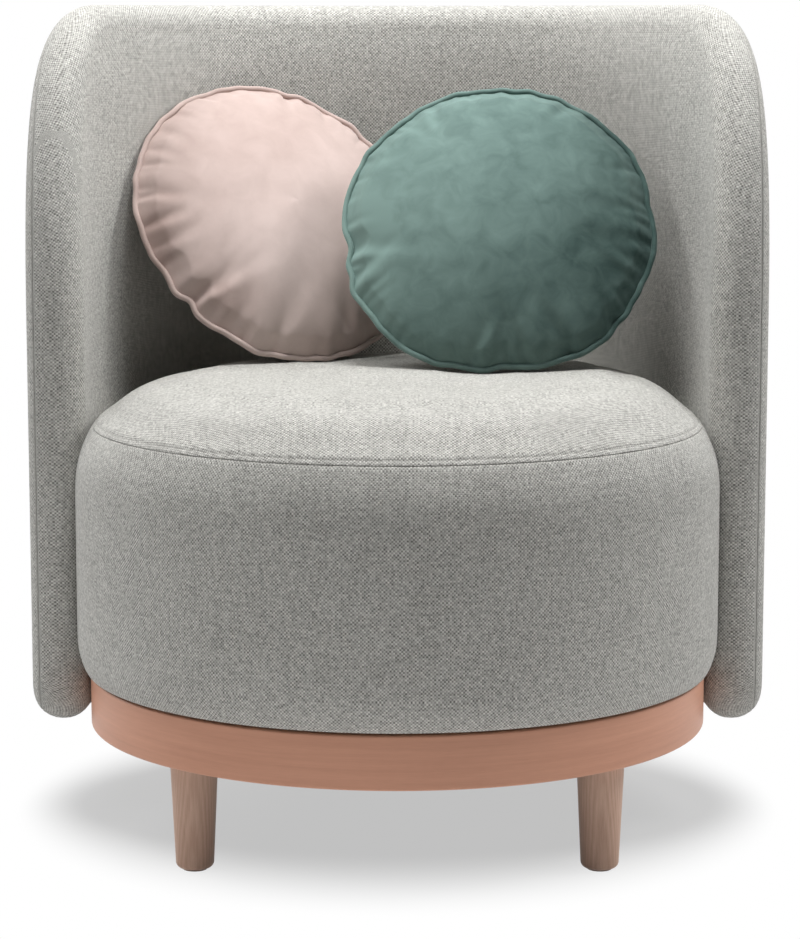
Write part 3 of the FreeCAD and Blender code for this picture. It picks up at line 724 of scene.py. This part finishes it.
def dust_cloth():
    """Thin cloth stretched under the plinth, with holes for the legs."""
    let_go()
    bpy.ops.mesh.primitive_circle_add(vertices=128, radius=DUST_CLOTH_R, location=(0, AXIS_Y, DUST_CLOTH_Z))
    piece = named("dust_cloth")
    edit("EDGE", "SELECT")
    bpy.ops.mesh.fill_grid(span=32, offset=0)
    mode("OBJECT")
    settle()
    co = places(piece)
    r = from_axis(co) / DUST_CLOTH_R
    ripple = np.array([noise.noise(Vector(p) / RIPPLE_SIZE + RIPPLE_START) for p in co])
    co[:, 2] -= DUST_CLOTH_SAG * (1 - r ** 2) + RIPPLE_DEPTH * ripple * (1 - r)
    move_to(piece, co)
    applied(piece, "SOLIDIFY", thickness=DUST_CLOTH_THICKNESS, offset=0)
    for x in (-LEG_SPREAD, LEG_SPREAD):
        for y in (-LEG_SPREAD, LEG_SPREAD):
            let_go()
            bpy.ops.mesh.primitive_cylinder_add(vertices=48, radius=LEG_HOLE_R, depth=0.05,
                                                location=(x, AXIS_Y + y, DUST_CLOTH_Z))
            punch = named("punch")
            applied(piece, "BOOLEAN", object=punch, operation="DIFFERENCE")
            bpy.data.objects.remove(punch)
    merge_points(piece, 1e-6)
    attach(piece, "chair")
    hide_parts("underside_dust_cover")
    return piece


# Cushions

COVER_VOXEL = 0.004
START_FLATNESS = 0.82
COVER_INSIDE_PIPING = 0.001
HELD_BAND = 0.006
COVER_PRESSURE = 4.0
COVER_CAP = 0.018
SPARE_CLOTH = 0.05
PIPING_POINTS = 180
# The cover beside its piping: half its thickness there, the strip that the seam holds flat, and its slope after that
RIM_HEIGHT = 0.0006
RIM_STRIP = 0.0024
RIM_SLOPE = 1.1
GATHERS = 40
# Creases of each cushion's face: angle, length, depth, lean, width
BLUSH_CREASES = ((167, 0.05, 0.0022, 0.1, 0.005), (181, 0.05, 0.0026, -0.2, 0.005), (193, 0.06, 0.002, -0.3, 0.006),
                 (214, 0.06, 0.0035, 0.2, 0.006), (226, 0.10, 0.003, -0.5, 0.008), (238, 0.11, 0.003, -0.4, 0.009),
                 (252, 0.08, 0.002, 0.2, 0.008), (282, 0.06, 0.003, 0.3, 0.006), (291, 0.05, 0.003, -0.3, 0.006),
                 (72, 0.03, 0.002, 0.1, 0.005), (57, 0.03, 0.002, -0.1, 0.005))
GREEN_CREASES = ((190, 0.07, 0.0025, 0.3, 0.006), (203, 0.06, 0.002, -0.3, 0.006), (258, 0.05, 0.0014, 0.3, 0.005),
                 (268, 0.045, 0.0016, 0.15, 0.004), (274, 0.035, 0.003, -0.1, 0.004),
                 (281, 0.05, 0.0014, -0.4, 0.005), (297, 0.06, 0.002, -0.2, 0.006), (330, 0.06, 0.002, 0.2, 0.006),
                 (341, 0.05, 0.0022, 0.1, 0.005), (352, 0.06, 0.002, -0.2, 0.006), (5, 0.05, 0.0022, 0.0, 0.005),
                 (64, 0.04, 0.002, 0.1, 0.005), (103, 0.04, 0.002, -0.2, 0.005), (117, 0.05, 0.0022, 0.2, 0.005),
                 (131, 0.05, 0.002, -0.1, 0.005))
# Dents and bulges of each cushion's edge: angle from its own right, way out, width in degrees
BLUSH_DENTS = ((57, -0.002, 3), (72, -0.002, 3), (120, 0.0015, 9), (141, 0.0015, 9), (184, -0.002, 4),
               (200, -0.007, 9), (214, -0.007, 4), (217, -0.003, 2.5), (230, -0.005, 12), (262, -0.003, 16))
GREEN_DENTS = ((10, -0.0055, 14), (45, -0.0025, 14), (64, -0.001, 3), (90, -0.0015, 10), (132, -0.003, 6),
               (188, -0.006, 6), (208, 0.005, 6), (225, 0.004, 12), (241, 0.006, 12), (273, -0.004, 6),
               (304, 0.0045, 11), (336, -0.0025, 8))


class Stand:
    """How a cushion leans: its own right, up and front, and the middle of its piping."""

    def __init__(self, name, turn, lean):
        low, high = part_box(name + "_piping")
        self.middle = np.array((low + high) / 2)
        t, l = math.radians(turn), math.radians(lean)
        right = (math.cos(t), math.sin(t), 0)
        up = (-math.sin(t) * math.sin(l), math.cos(t) * math.sin(l), math.cos(l))
        self.axes = np.array((right, up, np.cross(right, up)))

    def lay(self, co):
        """From the chair's frame to the cushion's own."""
        return (co - self.middle) @ self.axes.T

    def lean(self, co):
        """From the cushion's own frame to the chair's."""
        return co @ self.axes + self.middle


def rim_line(angle, dents, seed):
    """Radius of the piping's middle line round the cushion, with its dents and small scallops."""
    r = np.full_like(angle, CUSHION_R - PIPING_R)
    for place, out, width in dents:
        r += out * np.exp(-(off_angle(angle, place) / width) ** 2)
    rng = random.Random(seed)
    for waves in range(16, 46, 3):
        r += 0.00025 * np.sin(angle * waves + rng.uniform(0, 6.3))
    return r


def round_places(own):
    """Angle and radius of each point, from the middle of its cushion."""
    return np.arctan2(own[:, 1], own[:, 0]), np.hypot(own[:, 0], own[:, 1])


def off_angle(angle, place):
    """How far each angle is past a place, in degrees."""
    return (np.degrees(angle) - place + 180) % 360 - 180


def gathered(own, dents, creases, seed):
    """Draws the cover in along its piping, with small gathers all round and some longer creases."""
    own = own.copy()
    angle, r = round_places(own)
    from_rim = np.maximum(rim_line(angle, dents, seed) - r, 0)
    side = np.where(own[:, 2] < 0, -1.0, 1.0)
    height = np.minimum(np.abs(own[:, 2]), RIM_HEIGHT + np.maximum(from_rim - RIM_STRIP, 0) * RIM_SLOPE)
    rng = random.Random(seed + 2)
    folds = []
    for face in (1.0, -1.0):
        for k in range(GATHERS):
            turn = 360 * (k + rng.uniform(-0.35, 0.35)) / GATHERS
            folds.append((face, turn, rng.uniform(0.016, 0.036), rng.uniform(0.0004, 0.0017),
                          rng.uniform(-0.3, 0.3), rng.uniform(0.003, 0.0052)))
    folds += [(1.0, *crease) for crease in creases]
    for face, turn, length, depth, skew, width in folds:
        off = off_angle(angle, turn) * np.pi / 180 * np.maximum(r, 0.05) - skew * from_rim
        near = from_rim / (0.3 * length)
        reach = near * np.exp(1 - near)
        wide = width * (1 + 12 * from_rim)
        valley = np.exp(-(off / wide) ** 2)
        ridge = 0.45 * np.exp(-((off - 1.7 * wide) / wide) ** 2)
        height += np.where(side == face, depth * reach * (ridge - valley), 0)
    own[:, 2] = side * np.maximum(height, 0)
    return own


def cushion_cover(name, stand, dents, creases, seed):
    """Both panels and the filling, blown up as one closed cover."""
    cover = copied(name + "_cover", (name + "_front_panel", name + "_back_panel", name + "_filling"))
    take(cover)
    cover.data.remesh_voxel_size = COVER_VOXEL
    bpy.ops.object.voxel_remesh()
    own = stand.lay(places(cover))
    angle, r = round_places(own)
    rim = rim_line(angle, dents, seed)
    widest = r.max()
    scale = 1 + ((rim - COVER_INSIDE_PIPING) / widest - 1) * (r / widest) ** 3
    own[:, 0] *= scale
    own[:, 1] *= scale
    own[:, 2] *= START_FLATNESS
    held = (r > widest - HELD_BAND) & (np.abs(own[:, 2]) < HELD_BAND)
    move_to(cover, stand.lean(own))
    swell(cover, held, COVER_PRESSURE, COVER_CAP, np.ones(len(r)), SPARE_CLOTH, bend=0.2)
    r = round_places(stand.lay(places(cover)))[1]
    calm(cover, np.clip((0.15 - r) / 0.05, 0, 1))
    subdivided(cover)
    own = stand.lay(places(cover))
    own[:, 2] *= CUSHION_CROWN / np.abs(own[:, 2]).max()
    move_to(cover, stand.lean(gathered(own, dents, creases, seed)))
    smooth(cover)
    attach(cover, name)
    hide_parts(name + "_front_panel", name + "_back_panel", name + "_filling")
    return cover


def cushion_cord(name, stand, dents, seed):
    """Piping sewn in round the cushion."""
    cord = tuned(bpy.data.curves.new(name + "_cord", "CURVE"), dimensions="3D", bevel_depth=PIPING_R,
                 bevel_resolution=3, resolution_u=2)
    line = cord.splines.new("NURBS")
    line.points.add(PIPING_POINTS - 1)
    tuned(line, use_cyclic_u=True, order_u=4)
    angle = np.linspace(0, 2 * math.pi, PIPING_POINTS, endpoint=False)
    rim = rim_line(angle, dents, seed)
    rng = random.Random(seed + 1)
    sway = sum(0.0006 * np.sin(angle * waves + rng.uniform(0, 6.3)) for waves in (7, 13, 19, 27))
    own = np.stack((rim * np.cos(angle), rim * np.sin(angle), sway), axis=1)
    for point, spot in zip(line.points, stand.lean(own)):
        point.co = (*spot, 1.0)
    take(added(name + "_cord", cord))
    bpy.ops.object.convert(target="MESH")
    piping = named(name + "_cord")
    merge_points(piping, 1e-6)
    smooth(piping)
    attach(piping, name)
    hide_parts(name + "_piping")
    return piping


# Materials

class Shade:
    """A value inside a finish, so that its maths is written as plain expressions."""

    def __init__(self, finish, socket):
        self.finish = finish
        self.socket = socket

    def out(self, which):
        """Another output of the same node."""
        return Shade(self.finish, self.socket.node.outputs[which])

    def math(self, operation, *others):
        return self.finish.maths(operation, self, *others)

    def __add__(self, other):
        return self.math("ADD", other)

    __radd__ = __add__

    def __sub__(self, other):
        return self.math("SUBTRACT", other)

    def __rsub__(self, other):
        return self.finish.maths("SUBTRACT", other, self)

    def __mul__(self, other):
        return self.math("MULTIPLY", other)

    __rmul__ = __mul__

    def __truediv__(self, other):
        return self.math("DIVIDE", other)

    def __pow__(self, other):
        return self.math("POWER", other)

    def __abs__(self):
        return self.math("ABSOLUTE")


class Finish:
    """The nodes of a material or a world."""

    def __init__(self, name, kinds=None):
        self.owner = (bpy.data.materials if kinds is None else kinds).new(name)
        self.owner.use_nodes = True
        self.tree = self.owner.node_tree
        self.tree.nodes.clear()

    def node(self, kind, sockets=None, out=0, **settings):
        made = tuned(self.tree.nodes.new(kind), **settings)
        for name, value in (sockets or {}).items():
            if isinstance(value, Shade):
                self.tree.links.new(value.socket, made.inputs[name])
            else:
                made.inputs[name].default_value = value
        return Shade(self, made.outputs[out]) if made.outputs else None

    def maths(self, operation, *values):
        return self.node("ShaderNodeMath", dict(enumerate(values)), operation=operation)

    def place(self):
        """Where a point is, in the frame of the chair."""
        return self.node("ShaderNodeTexCoord", out=3)

    def speckle(self, where, scale, detail=2.0, roughness=0.5, distortion=0.0):
        """Noise from 0 to 1."""
        values = {"Vector": where, "Scale": scale, "Detail": detail, "Roughness": roughness, "Distortion": distortion}
        return self.node("ShaderNodeTexNoise", values, noise_dimensions="3D")

    def fibres(self, x, y, z, detail=2.0, roughness=0.5):
        """Noise that is stretched by the scale of each way."""
        return self.speckle(self.vector(x, y, z), 1.0, detail, roughness)

    def split(self, where):
        x = self.node("ShaderNodeSeparateXYZ", {0: where})
        return x, x.out(1), x.out(2)

    def vector(self, x, y, z):
        return self.node("ShaderNodeCombineXYZ", {0: x, 1: y, 2: z})

    def mix(self, part, first, second):
        """A colour between two."""
        return self.node("ShaderNodeMix", {0: part, 6: first, 7: second}, out=2, data_type="RGBA")

    def bump(self, height, distance, strength):
        return self.node("ShaderNodeBump", {"Strength": strength, "Distance": distance, "Height": height})

    def blend(self, part, first, second):
        """A shader between two."""
        return self.node("ShaderNodeMixShader", {0: part, 1: first, 2: second})

    def surface(self, **sockets):
        names = {key.replace("_", " "): value for key, value in sockets.items()}
        shader = self.node("ShaderNodeBsdfPrincipled", names)
        self.node("ShaderNodeOutputMaterial", {"Surface": shader})
        return self.owner


def colour(red, green, blue):
    """A colour from its screen values, 0 to 255."""
    def linear(level):
        level /= 255.0
        return level / 12.92 if level <= 0.04045 else ((level + 0.055) / 1.055) ** 2.4
    return (linear(red), linear(green), linear(blue), 1.0)


def grey_weave():
    """Plain weave of a light and a dark yarn, with uneven threads."""
    finish = Finish("grey_weave")
    thread = 0.0018
    where = finish.node("ShaderNodeUVMap", uv_map="weave")
    across, along, _ = finish.split(where)
    drift = finish.speckle(where, 60.0, 2.0)
    waver = (drift - 0.5) * 0.0016
    a = (across + waver) / thread
    b = (along - waver) / thread
    checks = (a * math.pi).math("SINE") * (b * math.pi).math("SINE")
    crossing = finish.vector(a.math("FLOOR"), b.math("FLOOR"), 0.0)
    yarn = finish.node("ShaderNodeTexWhiteNoise", {"Vector": crossing}, noise_dimensions="3D")
    warp = finish.fibres(across * 420.0, along * 16.0, 0.0)
    weft = finish.fibres(across * 16.0, along * 420.0, 5.0)
    fleck = finish.speckle(where, 280.0, 3.0)
    cloud = finish.speckle(where, 14.0, 2.0)
    tone = (checks * 0.66 + (yarn - 0.5) * 0.7 + (fleck - 0.5) * 0.85 + (warp - 0.5) * 0.42 + (weft - 0.5) * 0.42
            + (cloud - 0.5) * 0.22)
    base = finish.mix(tone * 0.5 + 0.5, colour(96, 94, 90), colour(228, 227, 221))
    normal = finish.bump(abs(checks) + (warp + weft) * 0.4, 0.0004, 0.5)
    return finish.surface(Base_Color=base, Roughness=0.92, Normal=normal, Sheen_Weight=0.15, Sheen_Roughness=0.5,
                          Specular_IOR_Level=0.2)


def velvet(name, deep, light, tint, mottle, even, painted_light_and_shade):
    """Short-pile velvet, with soft patches of tone, and wide soft patches of painted light and painted shade in its
    colour.
    """
    finish = Finish(name)
    where = finish.place()
    x, _, z = finish.split(where)
    patches = finish.speckle(where, 42.0, 3.0, 0.55, 0.6)
    cloud = finish.speckle(where, 13.0, 2.0)
    pile = finish.speckle(where, 1500.0, 2.0)
    part = ((patches - 0.5) * 0.75 + (cloud - 0.5) * 0.5) * mottle + (pile - 0.5) * 0.15 + even
    # Painted light and painted shade: each soft patch makes the colour lighter, or darker where its amount is below
    # 0, in place of light and shade falling on the cushion.
    for mid_x, mid_z, wide, tall, amount in painted_light_and_shade:
        a = (x - mid_x) / wide
        b = (z - mid_z) / tall
        part = part + ((a * a + b * b) * -1.0).math("EXPONENT") * amount
    base = finish.mix(part, deep, light)
    normal = finish.bump(pile, 0.0003, 0.25)
    return finish.surface(Base_Color=base, Roughness=0.85, Normal=normal, Sheen_Weight=0.35, Sheen_Roughness=0.4,
                          Sheen_Tint=tint, Specular_IOR_Level=0.2)


def stained_band():
    """Bent wood of the plinth, stained, with its fine grain running round."""
    finish = Finish("plinth_stain")
    x, y, z = finish.split(finish.place())
    way = x.math("ARCTAN2", AXIS_Y - y) * PLINTH_R
    grain = finish.fibres(way * 8.0, z * 240.0, 0.0, 4.0, 0.6)
    streak = finish.fibres(way * 2.2, z * 55.0, 3.0, 3.0)
    pores = finish.fibres(way * 70.0, z * 1500.0, 7.0)
    part = (grain - 0.5) * 0.75 + (streak - 0.5) * 0.6 + (pores - 0.5) * 0.4 + 0.5
    base = finish.mix(part, colour(192, 136, 109), colour(222, 164, 136))
    normal = finish.bump(grain + pores * 0.5, 0.0003, 0.25)
    return finish.surface(Base_Color=base, Roughness=(grain - 0.5) * 0.12 + 0.42, Normal=normal,
                          Specular_IOR_Level=0.4)


def leg_stain():
    """Open-grained turned wood, with arched growth rings along the leg."""
    finish = Finish("leg_stain")
    x, y, z = finish.split(finish.place())
    across = abs(x) - LEG_SPREAD
    deep = abs(y - AXIS_Y) - LEG_SPREAD
    other = x.math("GREATER_THAN", 0.0) * 0.37 + y.math("GREATER_THAN", 0.0) * 0.71
    along = z + other
    bend = finish.fibres(across * 14.0, deep * 14.0, along * 5.0)
    off = (along - other - 0.06) * 0.16
    heart = (across + off * 0.3) ** 2.0 * 60.0 + abs(deep - 0.03) + off + (bend - 0.5) * 0.02
    rings = (heart * 900.0).math("SINE") * 0.5 + 0.5
    fibre = finish.fibres(across * 700.0, deep * 700.0, along * 22.0, 3.0, 0.6)
    pores = finish.fibres(across * 1500.0, deep * 1500.0, along * 60.0)
    part = (rings - 0.5) * 0.25 + (fibre - 0.5) * 0.7 + (pores - 0.5) * 0.4 + 0.55
    base = finish.mix(part, colour(180, 140, 119), colour(222, 189, 168))
    normal = finish.bump(fibre + pores, 0.0003, 0.3)
    return finish.surface(Base_Color=base, Roughness=(fibre - 0.5) * 0.2 + 0.5, Normal=normal,
                          Specular_IOR_Level=0.35)


def frame_timber():
    """Plain birch ply and board for the parts under the covers."""
    finish = Finish("frame_timber")
    x, y, z = finish.split(finish.place())
    plies = (z * 2400.0).math("SINE") * 0.5 + 0.5
    grain = finish.fibres(x * 12.0, y * 160.0, z * 160.0, 4.0)
    part = (grain - 0.5) * 1.2 + (plies - 0.5) * 0.2 + 0.5
    base = finish.mix(part, colour(196, 164, 122), colour(226, 202, 164))
    return finish.surface(Base_Color=base, Roughness=(grain - 0.5) * 0.2 + 0.6)


def speckled(name, scale, detail, deep, light, rough, spread, metallic=0.0):
    """A plain finish with a fine speckle in its colour and gloss."""
    finish = Finish(name)
    grain = finish.speckle(finish.place(), scale, detail)
    return finish.surface(Base_Color=finish.mix(grain, deep, light), Metallic=metallic,
                          Roughness=(grain - 0.5) * spread + rough)


def zinc_plate():
    return speckled("zinc_plate", 320.0, 3.0, colour(158, 160, 163), colour(205, 207, 208), 0.38, 0.2, 1.0)


def moulded_plastic():
    return speckled("moulded_plastic", 900.0, 2.0, colour(104, 84, 72), colour(132, 110, 96), 0.55, 0.2)


def grey_thread():
    return speckled("grey_thread", 1400.0, 2.0, colour(120, 118, 114), colour(196, 194, 189), 0.8, 0.0)


def threaded(name, slant, threads, fuzz, deep, light, rough, height):
    """Matt cloth with fine threads both ways. Threads and fuzz are given with their share of the colour."""
    finish = Finish(name)
    x, y, _ = finish.split(finish.place())
    a, b = (x + y, x - y) if slant else (x, y)
    count, share = threads
    weave = (a * count).math("SINE") * (b * count).math("SINE")
    scale, detail, fuzz_share = fuzz
    haze = finish.speckle(finish.place(), scale, detail)
    base = finish.mix(weave * share + (haze - 0.5) * fuzz_share + 0.5, deep, light)
    return finish.surface(Base_Color=base, Roughness=rough, Normal=finish.bump(weave, height, 0.4))


def woven_strap():
    """Elastic webbing."""
    return threaded("woven_strap", True, (2200.0, 0.35), (500.0, 2.0, 0.6), colour(70, 66, 62), colour(132, 124, 115),
                    0.85, 0.0004)


def black_cambric():
    """Thin cloth of the underside."""
    return threaded("black_cambric", False, (3600.0, 0.3), (180.0, 3.0, 0.8), colour(38, 37, 36), colour(70, 68, 66),
                    0.9, 0.0002)


def paint(piece, finish):
    piece.data.materials.clear()
    piece.data.materials.append(finish)


def dress(node, finish):
    """Gives a CAD node its finish."""
    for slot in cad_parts[node].material_slots:
        slot.material = finish


# Stage

WHITE = (1.0, 1.0, 1.0, 1.0)
AIM = Vector((0, 0, 0.45))
LAMP_DISTANCE = 2.6
LAMP_SIZE = 0.8
TOP_LAMP = ("top_lamp", (0, -0.1, 2.2), 0.5, 28.5)
# Lamps in a ring: side, height and turn from the front in degrees, power in watts
LAMPS = (("left_low_lamp", -1, 20, 120, 19.0), ("left_front_lamp", -1, 40, 60, 9.0),
         ("left_high_lamp", -1, 60, 90, 17.0), ("left_top_lamp", -1, 60, 30, 5.5),
         ("right_side_lamp", 1, 40, 90, 31.0), ("right_back_lamp", 1, 35, 120, 11.5))
# Painted shadow on the floor, in the colour the camera sees round the chair: half width and half depth of its even
# middle and of its edge
PAINTED_SHADOW_MIDDLE = (0.325, 0.2)
PAINTED_SHADOW_EDGE = (0.402, 0.43)
# How far the painted shadow's middle lies behind the seat's axis, and how much white glow shows through its middle
PAINTED_SHADOW_BEHIND_AXIS = 0.06
PAINTED_SHADOW_GLOW = 0.53


def floor():
    let_go()
    bpy.ops.mesh.primitive_plane_add(size=40, location=(0, 0, 0))
    ground = named("floor")
    finish = Finish("studio_floor")
    path = finish.node("ShaderNodeLightPath")
    matt = finish.node("ShaderNodeBsdfDiffuse", {"Color": (0.92, 0.92, 0.92, 1.0)})
    dull = finish.node("ShaderNodeBsdfDiffuse", {"Color": (0.3, 0.3, 0.3, 1.0)})
    glow = finish.node("ShaderNodeEmission", {"Color": WHITE, "Strength": 1.0})
    seen = path + path.out("Is Glossy Ray") + path.out("Is Transmission Ray")
    x, y, _ = finish.split(finish.place())
    # The camera sees a painted shadow round the chair: a share of white glow over a dimmed matt floor that keeps a
    # faint real shadow. Farther out the floor is plain white glow.
    behind = y - AXIS_Y - PAINTED_SHADOW_BEHIND_AXIS
    inner, outer = ((x * x / wide ** 2 + behind * behind / deep ** 2) ** -0.5
                    for wide, deep in (PAINTED_SHADOW_MIDDLE, PAINTED_SHADOW_EDGE))
    part = (1.0 - inner) / (outer - inner)
    painted_shadow = finish.node("ShaderNodeMapRange", {0: part, 1: 0.0, 2: 1.0, 3: PAINTED_SHADOW_GLOW, 4: 1.0},
                       interpolation_type="SMOOTHSTEP")
    shown = finish.blend(painted_shadow, dull, glow)
    finish.node("ShaderNodeOutputMaterial", {"Surface": finish.blend(seen, matt, shown)})
    paint(ground, finish.owner)


def white_room():
    """White to the camera and in reflections, and no light of its own."""
    room = Finish("studio", bpy.data.worlds)
    bpy.context.scene.world = room.owner
    path = room.node("ShaderNodeLightPath")
    seen = path.math("MAXIMUM", path.out("Is Glossy Ray"))
    dark = room.node("ShaderNodeBackground", {"Color": WHITE, "Strength": 0.0})
    white = room.node("ShaderNodeBackground", {"Color": WHITE, "Strength": 1.0})
    room.node("ShaderNodeOutputWorld", {"Surface": room.blend(seen, dark, white)})


def lamps():
    placed = [TOP_LAMP]
    for name, side, rise, turn, power in LAMPS:
        rise, turn = math.radians(rise), math.radians(turn)
        level = LAMP_DISTANCE * math.cos(rise)
        spot = (side * level * math.sin(turn), -level * math.cos(turn), AIM.z + LAMP_DISTANCE * math.sin(rise))
        placed.append((name, spot, LAMP_SIZE, power))
    for name, spot, size, power in placed:
        lamp = tuned(bpy.data.lights.new(name, "AREA"), shape="RECTANGLE", size=size, size_y=size, energy=power)
        tuned(added(name, lamp), location=spot,
              rotation_euler=(AIM - Vector(spot)).to_track_quat("-Z", "Y").to_euler())


def camera():
    """The photograph's camera, as fitted to the round plinth, the legs and the shell."""
    lens = tuned(bpy.data.cameras.new("camera"), lens=115.34, sensor_width=36.0, clip_end=100.0)
    bpy.context.scene.camera = tuned(added("camera", lens), location=(0.0026, AXIS_Y - 3.0339, 0.8137),
                                     rotation_euler=(math.pi / 2 - 0.1475, 0, 0))
    bpy.context.scene.view_settings.view_transform = "Standard"


# The chair

# Velvets: name, deep and light colour, tint of the sheen, strength of the patches, share of the light colour, and
# patches of painted light and painted shade as (x and z of the middle, width, height, how much lighter; below 0
# darker)
BLUSH_PILE = ("blush_pile", colour(165, 144, 137), colour(228, 210, 204), (1.0, 0.93, 0.9, 1.0), 0.45, 0.29,
              ((-0.115, 0.57, 0.075, 0.075, 0.5), (-0.175, 0.53, 0.035, 0.025, -0.35),
               (-0.247, 0.59, 0.02, 0.04, -0.35), (-0.06, 0.66, 0.04, 0.05, 0.1), (-0.14, 0.485, 0.07, 0.03, 0.2)))
GREEN_PILE = ("green_pile", colour(41, 63, 60), colour(119, 143, 137), (0.75, 0.95, 0.9, 1.0), 1.0, 0.53,
              ((-0.03, 0.62, 0.12, 0.14, 0.42), (0.27, 0.58, 0.12, 0.2, -0.34), (0.10, 0.74, 0.1, 0.05, 0.12),
               (-0.03, 0.575, 0.02, 0.05, 0.4), (0.175, 0.68, 0.06, 0.05, 0.12)))
# Cushions: name, turn and lean in degrees, dents, creases, seed, velvet
CUSHIONS = (("blush_cushion", 29.0, 30.0, BLUSH_DENTS, BLUSH_CREASES, 4, BLUSH_PILE),
            ("green_cushion", -2.0, 30.5, GREEN_DENTS, GREEN_CREASES, 9, GREEN_PILE))

floor()
white_room()
lamps()
camera()
weave = grey_weave()
seat_pads = make_seat()
for pad in seat_pads + make_back():
    paint(pad, weave)
for name, turn, lean, dents, creases, seed, pile in CUSHIONS:
    stand = Stand(name, turn, lean)
    finish = velvet(*pile)
    cover = cushion_cover(name, stand, dents, creases, seed)
    cord = cushion_cord(name, stand, dents, seed)
    press(seat_pads[0], cord)
    for piece in (cover, cord):
        paint(piece, finish)

paint(seat_stitches(), grey_thread())
paint(dust_cloth(), black_cambric())
metal = zinc_plate()
paint(staples(), metal)
for finish, nodes in ((stained_band(), ("plinth_band",)),
                      (leg_stain(), ("leg_front_left", "leg_front_right", "leg_rear_left", "leg_rear_right")),
                      (frame_timber(), ("plinth_floor_board", "plinth_leg_blocks", "plinth_top_ring",
                                        "seat_base_board", "seat_posts", "seat_drum_wall", "seat_top_ring",
                                        "back_ply_shell")),
                      (metal, ("leg_hanger_bolts", "leg_tee_nuts", "plinth_to_seat_screws", "back_bolts",
                               "back_washers", "back_spacer_sleeves", "back_tee_nuts")),
                      (moulded_plastic(), ("leg_glides",)),
                      (woven_strap(), ("webbing_front_to_back", "webbing_side_to_side"))):
    for node in nodes:
        dress(node, finish)
